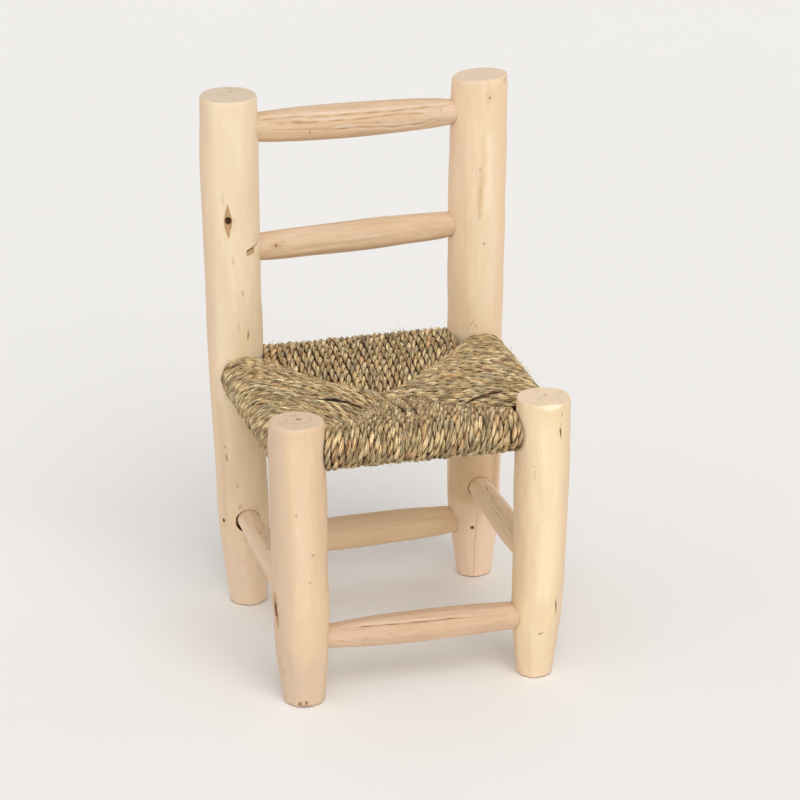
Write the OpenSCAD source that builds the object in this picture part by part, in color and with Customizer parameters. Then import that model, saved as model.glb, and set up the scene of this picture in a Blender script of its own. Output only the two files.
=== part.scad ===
// Child's ladder-back chair of peeled round wood with a woven rope seat.
// Millimetres. The front faces -Y, +Z is up, and the feet stand on z = 0.
// Left and right are those of someone who stands in front and looks at the chair.

/* [Posts] */
// Height of the back posts
back_post_h = 560; // [500:5:620]
// Height of the front posts
front_post_h = 302; // [292:1:320]
// Distance between the feet of the back posts
back_span = 252; // [230:2:280]
// Distance between the feet of the front posts
front_span = 241; // [225:2:270]
// Distance from the front feet to the back feet
seat_depth = 243; // [225:2:270]
// Thickness of a post above its whittled foot
post_d = 56; // [52:0.5:60]
// Thickness of a post at the floor
foot_d = 38; // [34:0.5:44]

/* [Rungs] */
// Height of the upper back rail
upper_rail_z = 524; // [480:1:535]
// Height of the lower back rail
lower_rail_z = 400; // [360:1:430]
// Height of the front and back stretchers
cross_stretcher_z = 65; // [60:1:75]
// Height of the side stretchers
side_stretcher_z = 103; // [98:1:130]
// Thickness of a stretcher at its middle
stretcher_d = 32; // [28:0.5:36]
// Thickness of the upper back rail at its middle
upper_rail_d = 36.5; // [32:0.5:40]

/* [Seat] */
// Height of the seat rails
seat_rail_z = 267; // [262:0.5:270]
// Thickness of the front and back seat rails
seat_rail_d = 30; // [28:0.5:32]
// Thickness of the side seat rails
side_rail_d = 35; // [33:0.5:37]
// Thickness of the rope
rope_d = 6.4; // [5:0.2:7]
// Turns of rope over each seat rail
courses = 28; // [20:2:30]
// How far the middle of the seat hangs below the front edge
seat_sag = 19; // [8:1:22]

/* [Hidden] */

WOOD = [0.93, 0.83, 0.66];
RUNG_WOOD = [0.88, 0.76, 0.62];
RAIL_WOOD = [0.78, 0.66, 0.50];
ROPE = [0.66, 0.58, 0.40];
NAIL = [0.25, 0.22, 0.20];

// The posts are branches, so each has its own lean, bow and thickness.
// Fields: foot [x, y], lean of the top, bow at mid height, height, foot thickness,
// body thickness, top thickness, height of the whittled foot, turn of its facets,
// slope of the sawn top [along x, along y]
POST_FOOT = 0;
POST_LEAN = 1;
POST_BOW = 2;
POST_H = 3;
POST_FOOT_D = 4;
POST_BODY_D = 5;
POST_TOP_D = 6;
POST_TAPER_H = 7;
POST_TURN = 8;
POST_SLOPE = 9;
foot_middle_x = 2.8;
back_y = seat_depth / 2 - 0.5;
front_y = -seat_depth / 2 - 0.5;
BACK_LEFT = [
    [foot_middle_x - back_span / 2, back_y - 3], [-7.3, 4.4], [-3, 0],
    back_post_h, foot_d + 1, post_d - 2.5, post_d + 1, 110, 20, [0, 0],
];
BACK_RIGHT = [
    [foot_middle_x + back_span / 2, back_y], [3.4, 0.3], [-2.5, 0],
    back_post_h + 1, foot_d - 1, post_d + 0.5, post_d + 0.5, 100, 40, [0.06, -0.05],
];
FRONT_LEFT = [
    [foot_middle_x - front_span / 2 + 1, front_y], [-3, 2.5], [-1, 0],
    front_post_h, foot_d + 2.5, post_d - 1.5, post_d - 2, 80, 75, [0, -0.03],
];
FRONT_RIGHT = [
    [foot_middle_x + front_span / 2, front_y - 0.5], [5.4, -1.7], [0.7, 0],
    front_post_h, foot_d - 2, post_d - 5, post_d - 3, 80, 10, [0, -0.02],
];
POST_SIDES = 22;
post_swell = 2.2; // extra thickness of a post above its middle
edge_round = 1.6; // wear of a post's top edge
facet_count = 5; // knife cuts round a whittled foot

// Fields of a rung: its two posts, its height at each, thickness at each end and at the middle
RUNG_POSTS = 0;
RUNG_Z = 1;
RUNG_D = 2;
RUNG_MID_D = 3;
UPPER_RAIL = [[BACK_LEFT, BACK_RIGHT], [upper_rail_z - 0.5, upper_rail_z], [30, 26], upper_rail_d];
LOWER_RAIL = [[BACK_LEFT, BACK_RIGHT], [lower_rail_z - 5, lower_rail_z + 3], [28, 26], upper_rail_d - 4];
FRONT_STRETCHER = [
    [FRONT_LEFT, FRONT_RIGHT], [cross_stretcher_z + 2, cross_stretcher_z + 1], [24, 27], stretcher_d,
];
BACK_STRETCHER = [
    [BACK_LEFT, BACK_RIGHT], [cross_stretcher_z - 2, cross_stretcher_z], [29, 29], stretcher_d + 4,
];
LEFT_STRETCHER = [
    [FRONT_LEFT, BACK_LEFT], [side_stretcher_z - 9, side_stretcher_z + 1],
    [21, 23], stretcher_d - 7,
];
RIGHT_STRETCHER = [
    [FRONT_RIGHT, BACK_RIGHT], [side_stretcher_z + 14, side_stretcher_z + 7],
    [25, 24], stretcher_d - 3,
];
RUNG_SIDES = 14;
RUNG_RINGS = 9;
rung_stop = 7; // from a post's axis to the end of a rung
mouth_play = 2.2; // how much wider the side stretchers' holes are at the mouth
mouth_depth = 6; // how deep that wider part goes

// Fields of a seat rail: its two posts, height, thickness
SEAT_FRONT = [[FRONT_LEFT, FRONT_RIGHT], seat_rail_z + 2, seat_rail_d];
SEAT_RIGHT = [[FRONT_RIGHT, BACK_RIGHT], seat_rail_z - 1, side_rail_d];
SEAT_BACK = [[BACK_RIGHT, BACK_LEFT], seat_rail_z - 1.5, seat_rail_d];
SEAT_LEFT = [[BACK_LEFT, FRONT_LEFT], seat_rail_z - 2, side_rail_d];
SEAT_RAILS = [SEAT_FRONT, SEAT_RIGHT, SEAT_BACK, SEAT_LEFT];
seat_tenon_r = 10; // radius of a seat rail's tenon
seat_stop = 11; // from a post's axis to the end of a seat rail

// The rope seat: one point where the four fields meet, and one at each corner
STEPS = 3; // points across one turn of rope
seat_middle = [2.6, 0.5];
seat_thick = 22; // of the woven seat at its middle
corner_clear = 30.5; // from a post's axis to the seat's corner
corner_half = 19; // half the seat's thickness at a corner
ridge = rope_d * 0.43; // how far a turn of rope stands above the groove beside it
crowding = 0.35; // how far the turns crowd towards the middle of the seat
WRAP_ANGLES = [for (k = [0 : 7]) 180 * k / 7];
RIM = 13; // points of the seat's section, from its top seam round the rail to its bottom seam
LAST = courses * STEPS;
seat_top = seat_rail_z + 2 + seat_rail_d / 2 + rope_d;
bore_play = 1.064; // the seat's many-sided bore clears the round rail

// The nails seen at two of the mortises
nail_r = 1.8;
nail_length = 26;
nail_sink = 1;
BACK_NAIL = [-8.3, cross_stretcher_z - 2];
LEFT_NAIL = [-11.5, side_stretcher_z - 3.5];

function mix(a, b, t) = a + (b - a) * t;

function unit(v) = v / norm(v);

// A post's axis at height z
function post_axis(p, z) =
    let(t = z / p[POST_H], xy = p[POST_FOOT] + p[POST_LEAN] * t + p[POST_BOW] * sin(180 * t))
    [xy.x, xy.y, z];

// A post's mean radius at height z, without the worn edges
function post_radius(p, z) =
    let(taper = p[POST_TAPER_H], u = min(1, z / taper), v = max(0, (z - taper) / (p[POST_H] - taper)))
    (mix(p[POST_BODY_D], p[POST_FOOT_D], pow(1 - u, 1.6))
        + (p[POST_TOP_D] - p[POST_BODY_D]) * v
        + post_swell * sin(180 * v * v)) / 2;

// How far a knife cut on the foot lets the surface stand out in direction a
function foot_facet(p, a, z) =
    let(low = p[POST_FOOT_D] / 2 * 0.96, high = p[POST_BODY_D] / 2 * 1.04)
    let(d = mix(low, high, z / p[POST_TAPER_H]))
    min([for (f = [0 : facet_count - 1])
        let(c = cos(a - p[POST_TURN] - 360 * f / facet_count)) c > 0.4 ? d / c : 1000]);

// One ring of a post's surface, a little out of round, level (0) or as the sawn top slopes (1)
function post_ring(p, z, inset, sloping = 0) =
    let(c = post_axis(p, z), r = post_radius(p, z), turn = p[POST_TURN], slope = p[POST_SLOPE] * sloping)
    [for (k = [0 : POST_SIDES - 1])
        let(a = 360 * k / POST_SIDES)
        let(oval = 1 + 0.012 * cos(2 * a + turn) + 0.008 * cos(3 * a - turn + z / 3))
        let(s = min(r * oval, foot_facet(p, a, z)) - inset)
        c + [s * cos(a), s * sin(a), s * (slope.x * cos(a) + slope.y * sin(a))]];

function post_rings(p) =
    let(h = p[POST_H], taper = p[POST_TAPER_H])
    concat(
        [post_ring(p, 0, 1.2)],
        [for (t = [0.02, 0.15, 0.32, 0.52, 0.75, 1]) post_ring(p, taper * t, 0)],
        [for (k = [1 : 6]) post_ring(p, mix(taper, h - 4, k / 6), 0)],
        [post_ring(p, h - 1.2, edge_round * 0.35, 1), post_ring(p, h, edge_round, 1)]
    );

// Two triangles between neighbouring points of two rings
function quad(a, b, c, d) = [[a, b, c], [a, c, d]];

// Joins rings of equal count into one closed solid with flat ends
module loft(rings) {
    n = len(rings[0]);
    last = len(rings) - 1;
    walls = [for (i = [0 : last - 1])
        for (k = [0 : n - 1])
            let(a = i * n + k, b = i * n + (k + 1) % n)
            each quad(a, a + n, b + n, b)];
    low = [for (k = [1 : n - 2]) [0, k, k + 1]];
    high = [for (k = [1 : n - 2]) [last * n, last * n + k + 1, last * n + k]];
    polyhedron(points = [for (r = rings) each r], faces = concat(walls, low, high), convexity = 4);
}

// Stands the children on a, with their Z towards b
module along(a, b) {
    v = b - a;
    translate(a)
        rotate([0, acos(v.z / norm(v)), atan2(v.y, v.x)])
            children();
}

function rung_end(g, e) = post_axis(g[RUNG_POSTS][e], g[RUNG_Z][e]);

// Where the rung leaves the post, measured from the post's axis
function rung_shoulder(g, e) = post_radius(g[RUNG_POSTS][e], g[RUNG_Z][e]) + 1;

function rung_radius(g, t) =
    let(end = t < 0.5 ? g[RUNG_D][0] : g[RUNG_D][1], u = abs(2 * t - 1))
    mix(g[RUNG_MID_D], end * 1.04, pow(u, 2.3)) / 2;

// A whittled rung: a barrel between the posts and a round tenon in each
module rung(g) {
    a = rung_end(g, 0);
    b = rung_end(g, 1);
    span = norm(b - a);
    from = rung_shoulder(g, 0);
    to = span - rung_shoulder(g, 1);
    rings = [for (i = [0 : RUNG_RINGS - 1])
        let(t = i / (RUNG_RINGS - 1), r = rung_radius(g, t))
        [for (k = [0 : RUNG_SIDES - 1])
            let(q = 360 * k / RUNG_SIDES, s = r * (1 + 0.02 * cos(2 * q + 40) + 0.012 * cos(3 * q)))
            [s * cos(q), s * sin(q), mix(from, to, t)]]];
    along(a, b) {
        loft(rings);
        translate([0, 0, rung_stop])
            cylinder(h = from - rung_stop + 3, d = g[RUNG_D][0], $fn = 48);
        translate([0, 0, to - 3])
            cylinder(h = span - rung_stop - to + 3, d = g[RUNG_D][1], $fn = 48);
    }
}

// The hole in post number e of a rung
module mortise(g, e, play = 0) {
    reach = 60;
    r = g[RUNG_D][e] / 2;
    along(rung_end(g, e), rung_end(g, 1 - e)) {
        translate([0, 0, rung_stop - 1])
            cylinder(h = reach, r = r, $fn = 48);
        if (play > 0)
            translate([play * 0.6, 0, rung_shoulder(g, e) - mouth_depth])
                cylinder(h = reach, r = r + play, $fn = 48);
    }
}

function seat_end(s, e) = post_axis(s[0][e], s[1]);

module seat_rail(s) {
    a = seat_end(s, 0);
    b = seat_end(s, 1);
    span = norm(b - a);
    from = post_radius(s[0][0], s[1]) + 1;
    to = span - post_radius(s[0][1], s[1]) - 1;
    along(a, b) {
        translate([0, 0, from])
            cylinder(h = to - from, d = s[2], $fn = 64);
        translate([0, 0, seat_stop])
            cylinder(h = span - 2 * seat_stop, r = seat_tenon_r, $fn = 48);
    }
}

module seat_mortise(s, e) {
    along(seat_end(s, e), seat_end(s, 1 - e))
        translate([0, 0, seat_stop - 1])
            cylinder(h = 60, r = seat_tenon_r, $fn = 48);
}

// Fraction of a rail's length at edge point j of its turns of rope
function turn_place(j) = (floor(j / STEPS) + [0, 0.22, 0.78][j % STEPS]) / courses;

function turn_height(j) = j % STEPS == 0 ? 0 : ridge;

// The corner of the seat beside a post, on the line from the post to the middle
function corner(p) =
    let(c = post_axis(p, seat_rail_z), in = unit([seat_middle.x, seat_middle.y] - [c.x, c.y]))
    [c.x, c.y] + in * corner_clear;

// Point i of the seam that runs from a corner to the middle of the seat: top is 1 or -1
function seam(p, i, top) =
    let(v = 2 * turn_place(i), w = v * (1 + crowding * (1 - v)), xy = mix(corner(p), seat_middle, w))
    let(middle_z = seat_top - seat_sag - seat_thick / 2 + top * seat_thick / 2)
    let(z = mix(seat_rail_z + top * corner_half, middle_z, w))
    [xy.x, xy.y, z + top * turn_height(i)];

// A course of rope from the rail (a) to the seam (b): level at the rail, then dipping
function sagging(a, b, t) =
    let(m = [mix(a.x, b.x, 0.45), mix(a.y, b.y, 0.45), a.z])
    mix(mix(a, m, t), mix(m, b, t), t);

// The middle of the rail at edge point j
function rail_point(s, j) =
    let(a = seat_end(s, 0), b = seat_end(s, 1), along_rail = unit(b - a))
    let(from = a + along_rail * (post_radius(s[0][0], s[1]) + 0.8))
    let(to = b - along_rail * (post_radius(s[0][1], s[1]) + 0.8))
    mix(from, to, turn_place(j));

function rail_outward(s) = let(d = unit(seat_end(s, 1) - seat_end(s, 0))) [d.y, -d.x, 0];

// The seat's section at edge point j: top seam, over the rail and back to the bottom seam
function seat_section(s, j) =
    let(c = rail_point(s, j), out = rail_outward(s), r = s[2] / 2 + rope_d - ridge + turn_height(j))
    let(near = j <= LAST / 2 ? s[0][0] : s[0][1], i = min(j, LAST - j))
    let(top = seam(near, i, 1), low = seam(near, i, -1))
    let(wrap = [for (q = WRAP_ANGLES) c + r * cos(q) * [0, 0, 1] + r * sin(q) * out])
    concat([top, sagging(wrap[0], top, 0.7), sagging(wrap[0], top, 0.35)], wrap,
        [sagging(wrap[7], low, 0.5), low]);

// The bore round the rail at one end of a field, matched to the section outside it
function bore_ring(s, j) =
    let(c = rail_point(s, j), d = unit(seat_end(s, 1) - seat_end(s, 0)), rim = seat_section(s, j))
    let(loop = concat(rim, [(rim[0] + rim[RIM - 1]) / 2]))
    [for (p = loop)
        let(v = p - c, flat = v - d * (v * d))
        c + unit(flat) * s[2] / 2 * bore_play];

// The whole seat is one surface: four fields that share their seams, each bored for its rail
module rope_seat_solid() {
    per_field = (LAST + 1) * RIM + 2 * (RIM + 1) + 2;
    points = [for (s = SEAT_RAILS) each concat(
        [for (j = [0 : LAST]) each seat_section(s, j)],
        bore_ring(s, 0),
        bore_ring(s, LAST),
        [for (j = [0, LAST]) let(rim = seat_section(s, j)) (rim[0] + rim[RIM - 1]) / 2]
    )];
    skin = [for (f = [0 : 3])
        for (j = [0 : LAST - 1])
            for (k = [0 : RIM - 2])
                let(a = f * per_field + j * RIM + k)
                each quad(a, a + RIM, a + RIM + 1, a + 1)];
    bores = [for (f = [0 : 3])
        let(a = f * per_field + (LAST + 1) * RIM, b = a + RIM + 1)
        for (k = [0 : RIM])
            let(n = (k + 1) % (RIM + 1))
            each quad(a + k, a + n, b + n, b + k)];
    caps = [for (f = [0 : 3])
        for (e = [0, 1])
            let(base = f * per_field, rim = base + e * LAST * RIM)
            let(bore = base + (LAST + 1) * RIM + e * (RIM + 1), mid = base + per_field - 2 + e)
            for (k = [0 : RIM])
                let(n = (k + 1) % (RIM + 1), o = k == RIM ? mid : rim + k, m = n == RIM ? mid : rim + n)
                each e == 0 ? quad(o, m, bore + n, bore + k) : quad(m, o, bore + k, bore + n)];
    polyhedron(points = points, faces = concat(skin, bores, caps), convexity = 6);
}

// Places a nail, driven into a post's side in direction d, across a tenon
module nail_at(p, along_tenon, z, d) {
    c = post_axis(p, z) + along_tenon;
    start = c - d * (post_radius(p, z) * 0.97 - nail_sink);
    along(start, start + d)
        children();
}

module back_nail_place() {
    nail_at(BACK_RIGHT, [BACK_NAIL[0], 0, 0], BACK_NAIL[1], [0, 1, 0])
        children();
}

module left_nail_place() {
    nail_at(BACK_LEFT, [0, LEFT_NAIL[0], 0], LEFT_NAIL[1], [1, 0, 0])
        children();
}

module nail_hole() {
    translate([0, 0, -6])
        cylinder(h = nail_length + 6, r = nail_r, $fn = 24);
}

module post_back_left() {
    color(WOOD)
        difference() {
            loft(post_rings(BACK_LEFT));
            mortise(UPPER_RAIL, 0);
            mortise(LOWER_RAIL, 0);
            mortise(BACK_STRETCHER, 0);
            mortise(LEFT_STRETCHER, 1, mouth_play * 0.8);
            seat_mortise(SEAT_BACK, 1);
            seat_mortise(SEAT_LEFT, 0);
            left_nail_place() nail_hole();
        }
}

module post_back_right() {
    color(WOOD)
        difference() {
            loft(post_rings(BACK_RIGHT));
            mortise(UPPER_RAIL, 1);
            mortise(LOWER_RAIL, 1);
            mortise(BACK_STRETCHER, 1);
            mortise(RIGHT_STRETCHER, 1, mouth_play * 0.25);
            seat_mortise(SEAT_BACK, 0);
            seat_mortise(SEAT_RIGHT, 1);
            back_nail_place() nail_hole();
        }
}

module post_front_left() {
    color(WOOD)
        difference() {
            loft(post_rings(FRONT_LEFT));
            mortise(FRONT_STRETCHER, 0);
            mortise(LEFT_STRETCHER, 0);
            seat_mortise(SEAT_FRONT, 0);
            seat_mortise(SEAT_LEFT, 1);
        }
}

module post_front_right() {
    color(WOOD)
        difference() {
            loft(post_rings(FRONT_RIGHT));
            mortise(FRONT_STRETCHER, 1);
            mortise(RIGHT_STRETCHER, 0);
            seat_mortise(SEAT_FRONT, 1);
            seat_mortise(SEAT_RIGHT, 0);
        }
}

module back_rail_upper() {
    color(RUNG_WOOD)
        rung(UPPER_RAIL);
}

module back_rail_lower() {
    color(RUNG_WOOD)
        rung(LOWER_RAIL);
}

module stretcher_front() {
    color(RUNG_WOOD)
        rung(FRONT_STRETCHER);
}

module stretcher_back() {
    color(RUNG_WOOD)
        difference() {
            rung(BACK_STRETCHER);
            back_nail_place() nail_hole();
        }
}

module stretcher_left() {
    color(RUNG_WOOD)
        difference() {
            rung(LEFT_STRETCHER);
            left_nail_place() nail_hole();
        }
}

module stretcher_right() {
    color(RUNG_WOOD)
        rung(RIGHT_STRETCHER);
}

module seat_rail_front() {
    color(RAIL_WOOD)
        seat_rail(SEAT_FRONT);
}

module seat_rail_back() {
    color(RAIL_WOOD)
        seat_rail(SEAT_BACK);
}

module seat_rail_left() {
    color(RAIL_WOOD)
        seat_rail(SEAT_LEFT);
}

module seat_rail_right() {
    color(RAIL_WOOD)
        seat_rail(SEAT_RIGHT);
}

module rope_seat() {
    color(ROPE)
        rope_seat_solid();
}

module tenon_nails() {
    color(NAIL) {
        back_nail_place() cylinder(h = nail_length, r = nail_r, $fn = 24);
        left_nail_place() cylinder(h = nail_length, r = nail_r, $fn = 24);
    }
}

post_back_left();
post_back_right();
post_front_left();
post_front_right();
back_rail_upper();
back_rail_lower();
stretcher_front();
stretcher_back();
stretcher_left();
stretcher_right();
seat_rail_front();
seat_rail_back();
seat_rail_left();
seat_rail_right();
rope_seat();
tenon_nails();
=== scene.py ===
"""Dresses the child's chair: peeled posts, whittled rungs and the woven rope seat."""

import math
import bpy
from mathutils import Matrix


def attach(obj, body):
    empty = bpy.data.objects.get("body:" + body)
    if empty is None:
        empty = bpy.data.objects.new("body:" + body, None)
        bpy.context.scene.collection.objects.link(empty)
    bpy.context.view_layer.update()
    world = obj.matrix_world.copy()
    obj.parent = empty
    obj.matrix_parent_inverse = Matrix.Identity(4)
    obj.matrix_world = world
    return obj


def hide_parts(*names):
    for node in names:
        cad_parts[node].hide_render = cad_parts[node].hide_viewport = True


bl_info = {
    "name": "Child's rope-seat chair",
    "version": (1, 0, 0),
    "blender": (4, 5, 0),
    "location": "View3D > Sidebar > Chair",
    "description": "Builds the posts, rungs, rope seat and stage of a child's ladder-back chair",
    "category": "Object",
}

from collections import namedtuple

import bpy
import numpy as np
from bpy.props import FloatProperty, FloatVectorProperty, IntProperty, PointerProperty
from mathutils import Matrix

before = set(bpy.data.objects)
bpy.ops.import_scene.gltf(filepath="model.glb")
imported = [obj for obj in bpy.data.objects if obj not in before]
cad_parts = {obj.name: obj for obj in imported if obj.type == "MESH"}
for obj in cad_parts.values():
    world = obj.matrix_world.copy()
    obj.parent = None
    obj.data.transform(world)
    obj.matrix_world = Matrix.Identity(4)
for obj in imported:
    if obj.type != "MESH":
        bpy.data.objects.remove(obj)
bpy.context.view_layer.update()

MM = 0.001

# Shared sizes in millimetres and degrees, as in the solids' source

# A post: foot and lean of the top in plan, bow at mid height, height, thickness at foot, body and top,
# height of the whittled taper, turn of its knife cuts, slope of the sawn top along x and y
Post = namedtuple("Post", "foot lean bow height foot_d body_d top_d taper turn slope")
POSTS = {
    "post_back_left": Post((-123.2, 118.0), (-7.3, 4.4), (-3, 0), 560, 39, 53.5, 57, 110, 20, (0, 0)),
    "post_back_right": Post((128.8, 121), (3.4, 0.3), (-2.5, 0), 561, 37, 56.5, 56.5, 100, 40, (0.06, -0.05)),
    "post_front_left": Post((-116.7, -122.0), (-3, 2.5), (-1, 0), 302, 40.5, 54.5, 54, 80, 75, (0, -0.03)),
    "post_front_right": Post((123.3, -122.5), (5.4, -1.7), (0.7, 0), 302, 36, 51, 53, 80, 10, (0, -0.02)),
}
POST_SWELL = 2.2  # how much thicker a post is above its taper
# Wear of each post's top edge
EDGE_ROUND = {
    "post_back_left": 1.0,
    "post_back_right": 1.0,
    "post_front_left": 2.2,
    "post_front_right": 0.7,
}
TOP_EDGE = 3.6  # how far below the top that wear begins
FOOT_EDGE = 2.2  # height of the wear round the foot
FOOT_ROUND = 1.3  # how deep that wear goes
FOOT_CUTS = 5  # knife cuts round a foot

# A rung: the posts at both ends, its height at each, its thickness at each and in the middle
Rung = namedtuple("Rung", "start stop start_z stop_z start_d stop_d middle_d")
RUNGS = {
    "back_rail_upper": Rung("post_back_left", "post_back_right", 523.5, 524, 30, 26, 36.5),
    "back_rail_lower": Rung("post_back_left", "post_back_right", 395, 403, 28, 26, 32.5),
    "stretcher_front": Rung("post_front_left", "post_front_right", 67, 66, 24, 27, 32),
    "stretcher_back": Rung("post_back_left", "post_back_right", 63, 65, 29, 29, 36),
    "stretcher_left": Rung("post_front_left", "post_back_left", 94, 104, 21, 23, 25),
    "stretcher_right": Rung("post_front_right", "post_back_right", 117, 110, 25, 24, 29),
}
RUNG_STOP = 7  # from a post's axis to the end of a rung's tenon
BORE_PLAY = 0.35  # round a rung's tenon
BORE_SPARE = 1  # how much deeper a mortise is than its tenon
BORE_REACH = 60  # from a post's axis to the outer end of a cutter
# The side stretchers' holes in the back posts are wider at the mouth: the extra radius, and how far the wide
# part sits across and up, in shares of that radius
MOUTH_PLAY = {"stretcher_left": 1.76, "stretcher_right": 0.55}
MOUTH_SHIFT = {"stretcher_left": (-0.50, -0.65), "stretcher_right": (-0.6, 0.15)}
MOUTH_DEPTH = 6  # how deep the wide part goes

# A seat rail: the posts at both ends, its height
SEAT_RAILS = {
    "seat_rail_front": ("post_front_left", "post_front_right", 269),
    "seat_rail_right": ("post_front_right", "post_back_right", 266),
    "seat_rail_back": ("post_back_right", "post_back_left", 265.5),
    "seat_rail_left": ("post_back_left", "post_front_left", 265),
}
SEAT_TENON_R = 10  # radius of a seat rail's tenon
SEAT_STOP = 11  # from a post's axis to the end of a seat rail's tenon
SEAT_PLAY = 0.1  # round a seat rail's tenon

# A nail: its post, its place beside the post's axis, its height, the direction it is driven in
Nail = namedtuple("Nail", "post offset z way")
NAILS = (
    Nail("post_back_right", (-8.3, 0), 63, (0, 1, 0)),
    Nail("post_back_left", (0, -11.5), 99.5, (1, 0, 0)),
)
NAIL_R = 1.8  # radius of a nail
NAIL_PLAY = 0.15  # round a nail
NAIL_OUTSIDE = 6  # how far outside the post a cutter for a nail's hole starts
NAIL_PAST_MIDDLE = 4  # how far past the post's middle it ends
NAIL_NEAR = 12  # a nail holds the rung whose height is this near


# Shapes


def post_axis(name, z):
    """The post's axis at the heights z."""
    post = POSTS[name]
    t = np.asarray(z, float) / post.height
    s = np.sin(np.pi * t)
    x = post.foot[0] + post.lean[0] * t + post.bow[0] * s
    y = post.foot[1] + post.lean[1] * t + post.bow[1] * s
    return np.stack([x, y, np.asarray(z, float) + 0 * x], -1)


def post_radius(name, z):
    """The post's mean radius at the heights z."""
    post = POSTS[name]
    z = np.asarray(z, float)
    u = np.minimum(1, z / post.taper)
    v = np.maximum(0, (z - post.taper) / (post.height - post.taper))
    body = post.body_d + (post.foot_d - post.body_d) * (1 - u) ** 1.6
    return (body + (post.top_d - post.body_d) * v + POST_SWELL * np.sin(np.pi * v * v)) / 2


class Ripples:
    """Smooth random unevenness of a round stick, the same on every run."""

    def __init__(self, seed, count, turns, waves):
        rng = np.random.default_rng(seed)
        self.turns = rng.integers(turns[0], turns[1] + 1, count)
        self.waves = 2 * np.pi / rng.uniform(waves[0], waves[1], count)
        self.waves *= rng.choice([-1, 1], count)
        self.phase = rng.uniform(0, 2 * np.pi, count)
        self.size = rng.uniform(0.5, 1, count)
        self.size /= np.sqrt((self.size ** 2).sum() / 2)

    def at(self, angle, along):
        """The unevenness at angles in radians and distances along the stick."""
        total = 0.0
        for m, k, p, s in zip(self.turns, self.waves, self.phase, self.size):
            total = total + s * np.sin(m * angle + k * along + p)
        return total


def smooth(lo, hi, x):
    """Rises smoothly from 0 at lo to 1 at hi, or falls where hi is the smaller."""
    t = np.clip((x - lo) / (hi - lo), 0, 1)
    return t * t * (3 - 2 * t)


def unit(vector):
    """The vector at length one."""
    return vector / np.linalg.norm(vector)


def softer(a, b, width=0.25):
    """The smaller of two radii, with a slightly rounded edge between them."""
    d = np.clip((b - a) / width, -30, 30)
    return a - width * np.log1p(np.exp(-d))


def turned(angle, middle):
    """Difference of two angles in degrees, from -180 to 180."""
    return (angle - middle + 180) % 360 - 180


def facet(radius, angle, direction, distance):
    """Cuts the round radius by a plane at that distance in that direction."""
    widest = 0.35
    c = np.cos(np.radians(turned(angle, direction)))
    return np.where(c > widest, softer(radius, distance / np.maximum(c, widest)), radius)


class Skin:
    """A stick's surface at given angles and places: its radius, and what the material shows there."""

    def __init__(self, angle, place, mean):
        self.angle, self.place, self.mean = angle, place, mean
        self.r = mean
        self.cut = self.hollow = self.stain = self.tone = 0 * mean

    def across(self, middle):
        """Distance round the surface from a line at the angle middle."""
        return np.radians(turned(self.angle, middle)) * self.mean

    def darken(self, amount):
        """Darkens the surface, at least that much: painted shade in holes, cracks, grooves and under edges,
        and a knot's own dark rim.
        """
        self.hollow = np.maximum(self.hollow, amount)

    def brown(self, amount):
        """Stains the surface brown, at least that much."""
        self.stain = np.maximum(self.stain, amount)


# Local shapes on the posts. Angles are as seen from above: 0 = +X, -90 = the chair's front
KNOT = {"angle": -107.4, "z": 435.5, "wide": 4.7, "high": 19.0, "hole": 3.3}
SLIT = {"z": 106, "wide": 5.0, "high": 22.0}
SLIT_LINE = ((84, -163.0), (97.5, -166.5), (104.5, -169.0), (112.5, -169.0), (128, -168.0))  # height, angle
BULGE = {"angle": -186, "z": 118, "out": 1.5}
LIP = {"angle": -93, "distance": 22.9, "slope": 0.50}
GROOVE = {"angle": -98, "low": 415, "high": 512}
SPLIT = {"angle": -108.9, "slant": 0.134, "low": 0, "high": 86}
# The chip at the lower rail's mortise, from angle to angle, and its two edges as angle, height
CHIP = {"low": -70.0, "high": -14.0}
CHIP_UPPER = (
    (-70, 401.6), (-59, 403.5), (-48, 405), (-38, 406.6), (-29.5, 408.8), (-25, 411.8), (-14, 416),
    (-8, 419),
)
CHIP_LOWER = ((-70, 396.2), (-66.5, 395.9), (-48, 397.6), (-40, 400), (-30, 404), (-14, 408))

# Further cuts on the whittled feet: direction, distance at the floor, distance at a height, that height
CUTS = {
    "post_back_left": [(-95, 19.6, 27.9, 72), (-160, 19.0, 28.2, 95), (60, 19.2, 28.4, 90)],
    "post_back_right": [(-70, 16.4, 28.2, 94), (-132, 17.6, 28.3, 66), (150, 18.2, 28.5, 80)],
    "post_front_left": [
        (-100, 19.4, 28.2, 58), (-150, 20.0, 28.0, 66), (-60, 19.8, 28.0, 60), (120, 19.5, 28.3, 60),
    ],
    "post_front_right": [
        (-95, 17.6, 26.8, 84), (-140, 17.4, 26.9, 70), (-30, 17.4, 26.7, 88), (100, 17.6, 27.1, 80),
    ],
}
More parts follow.
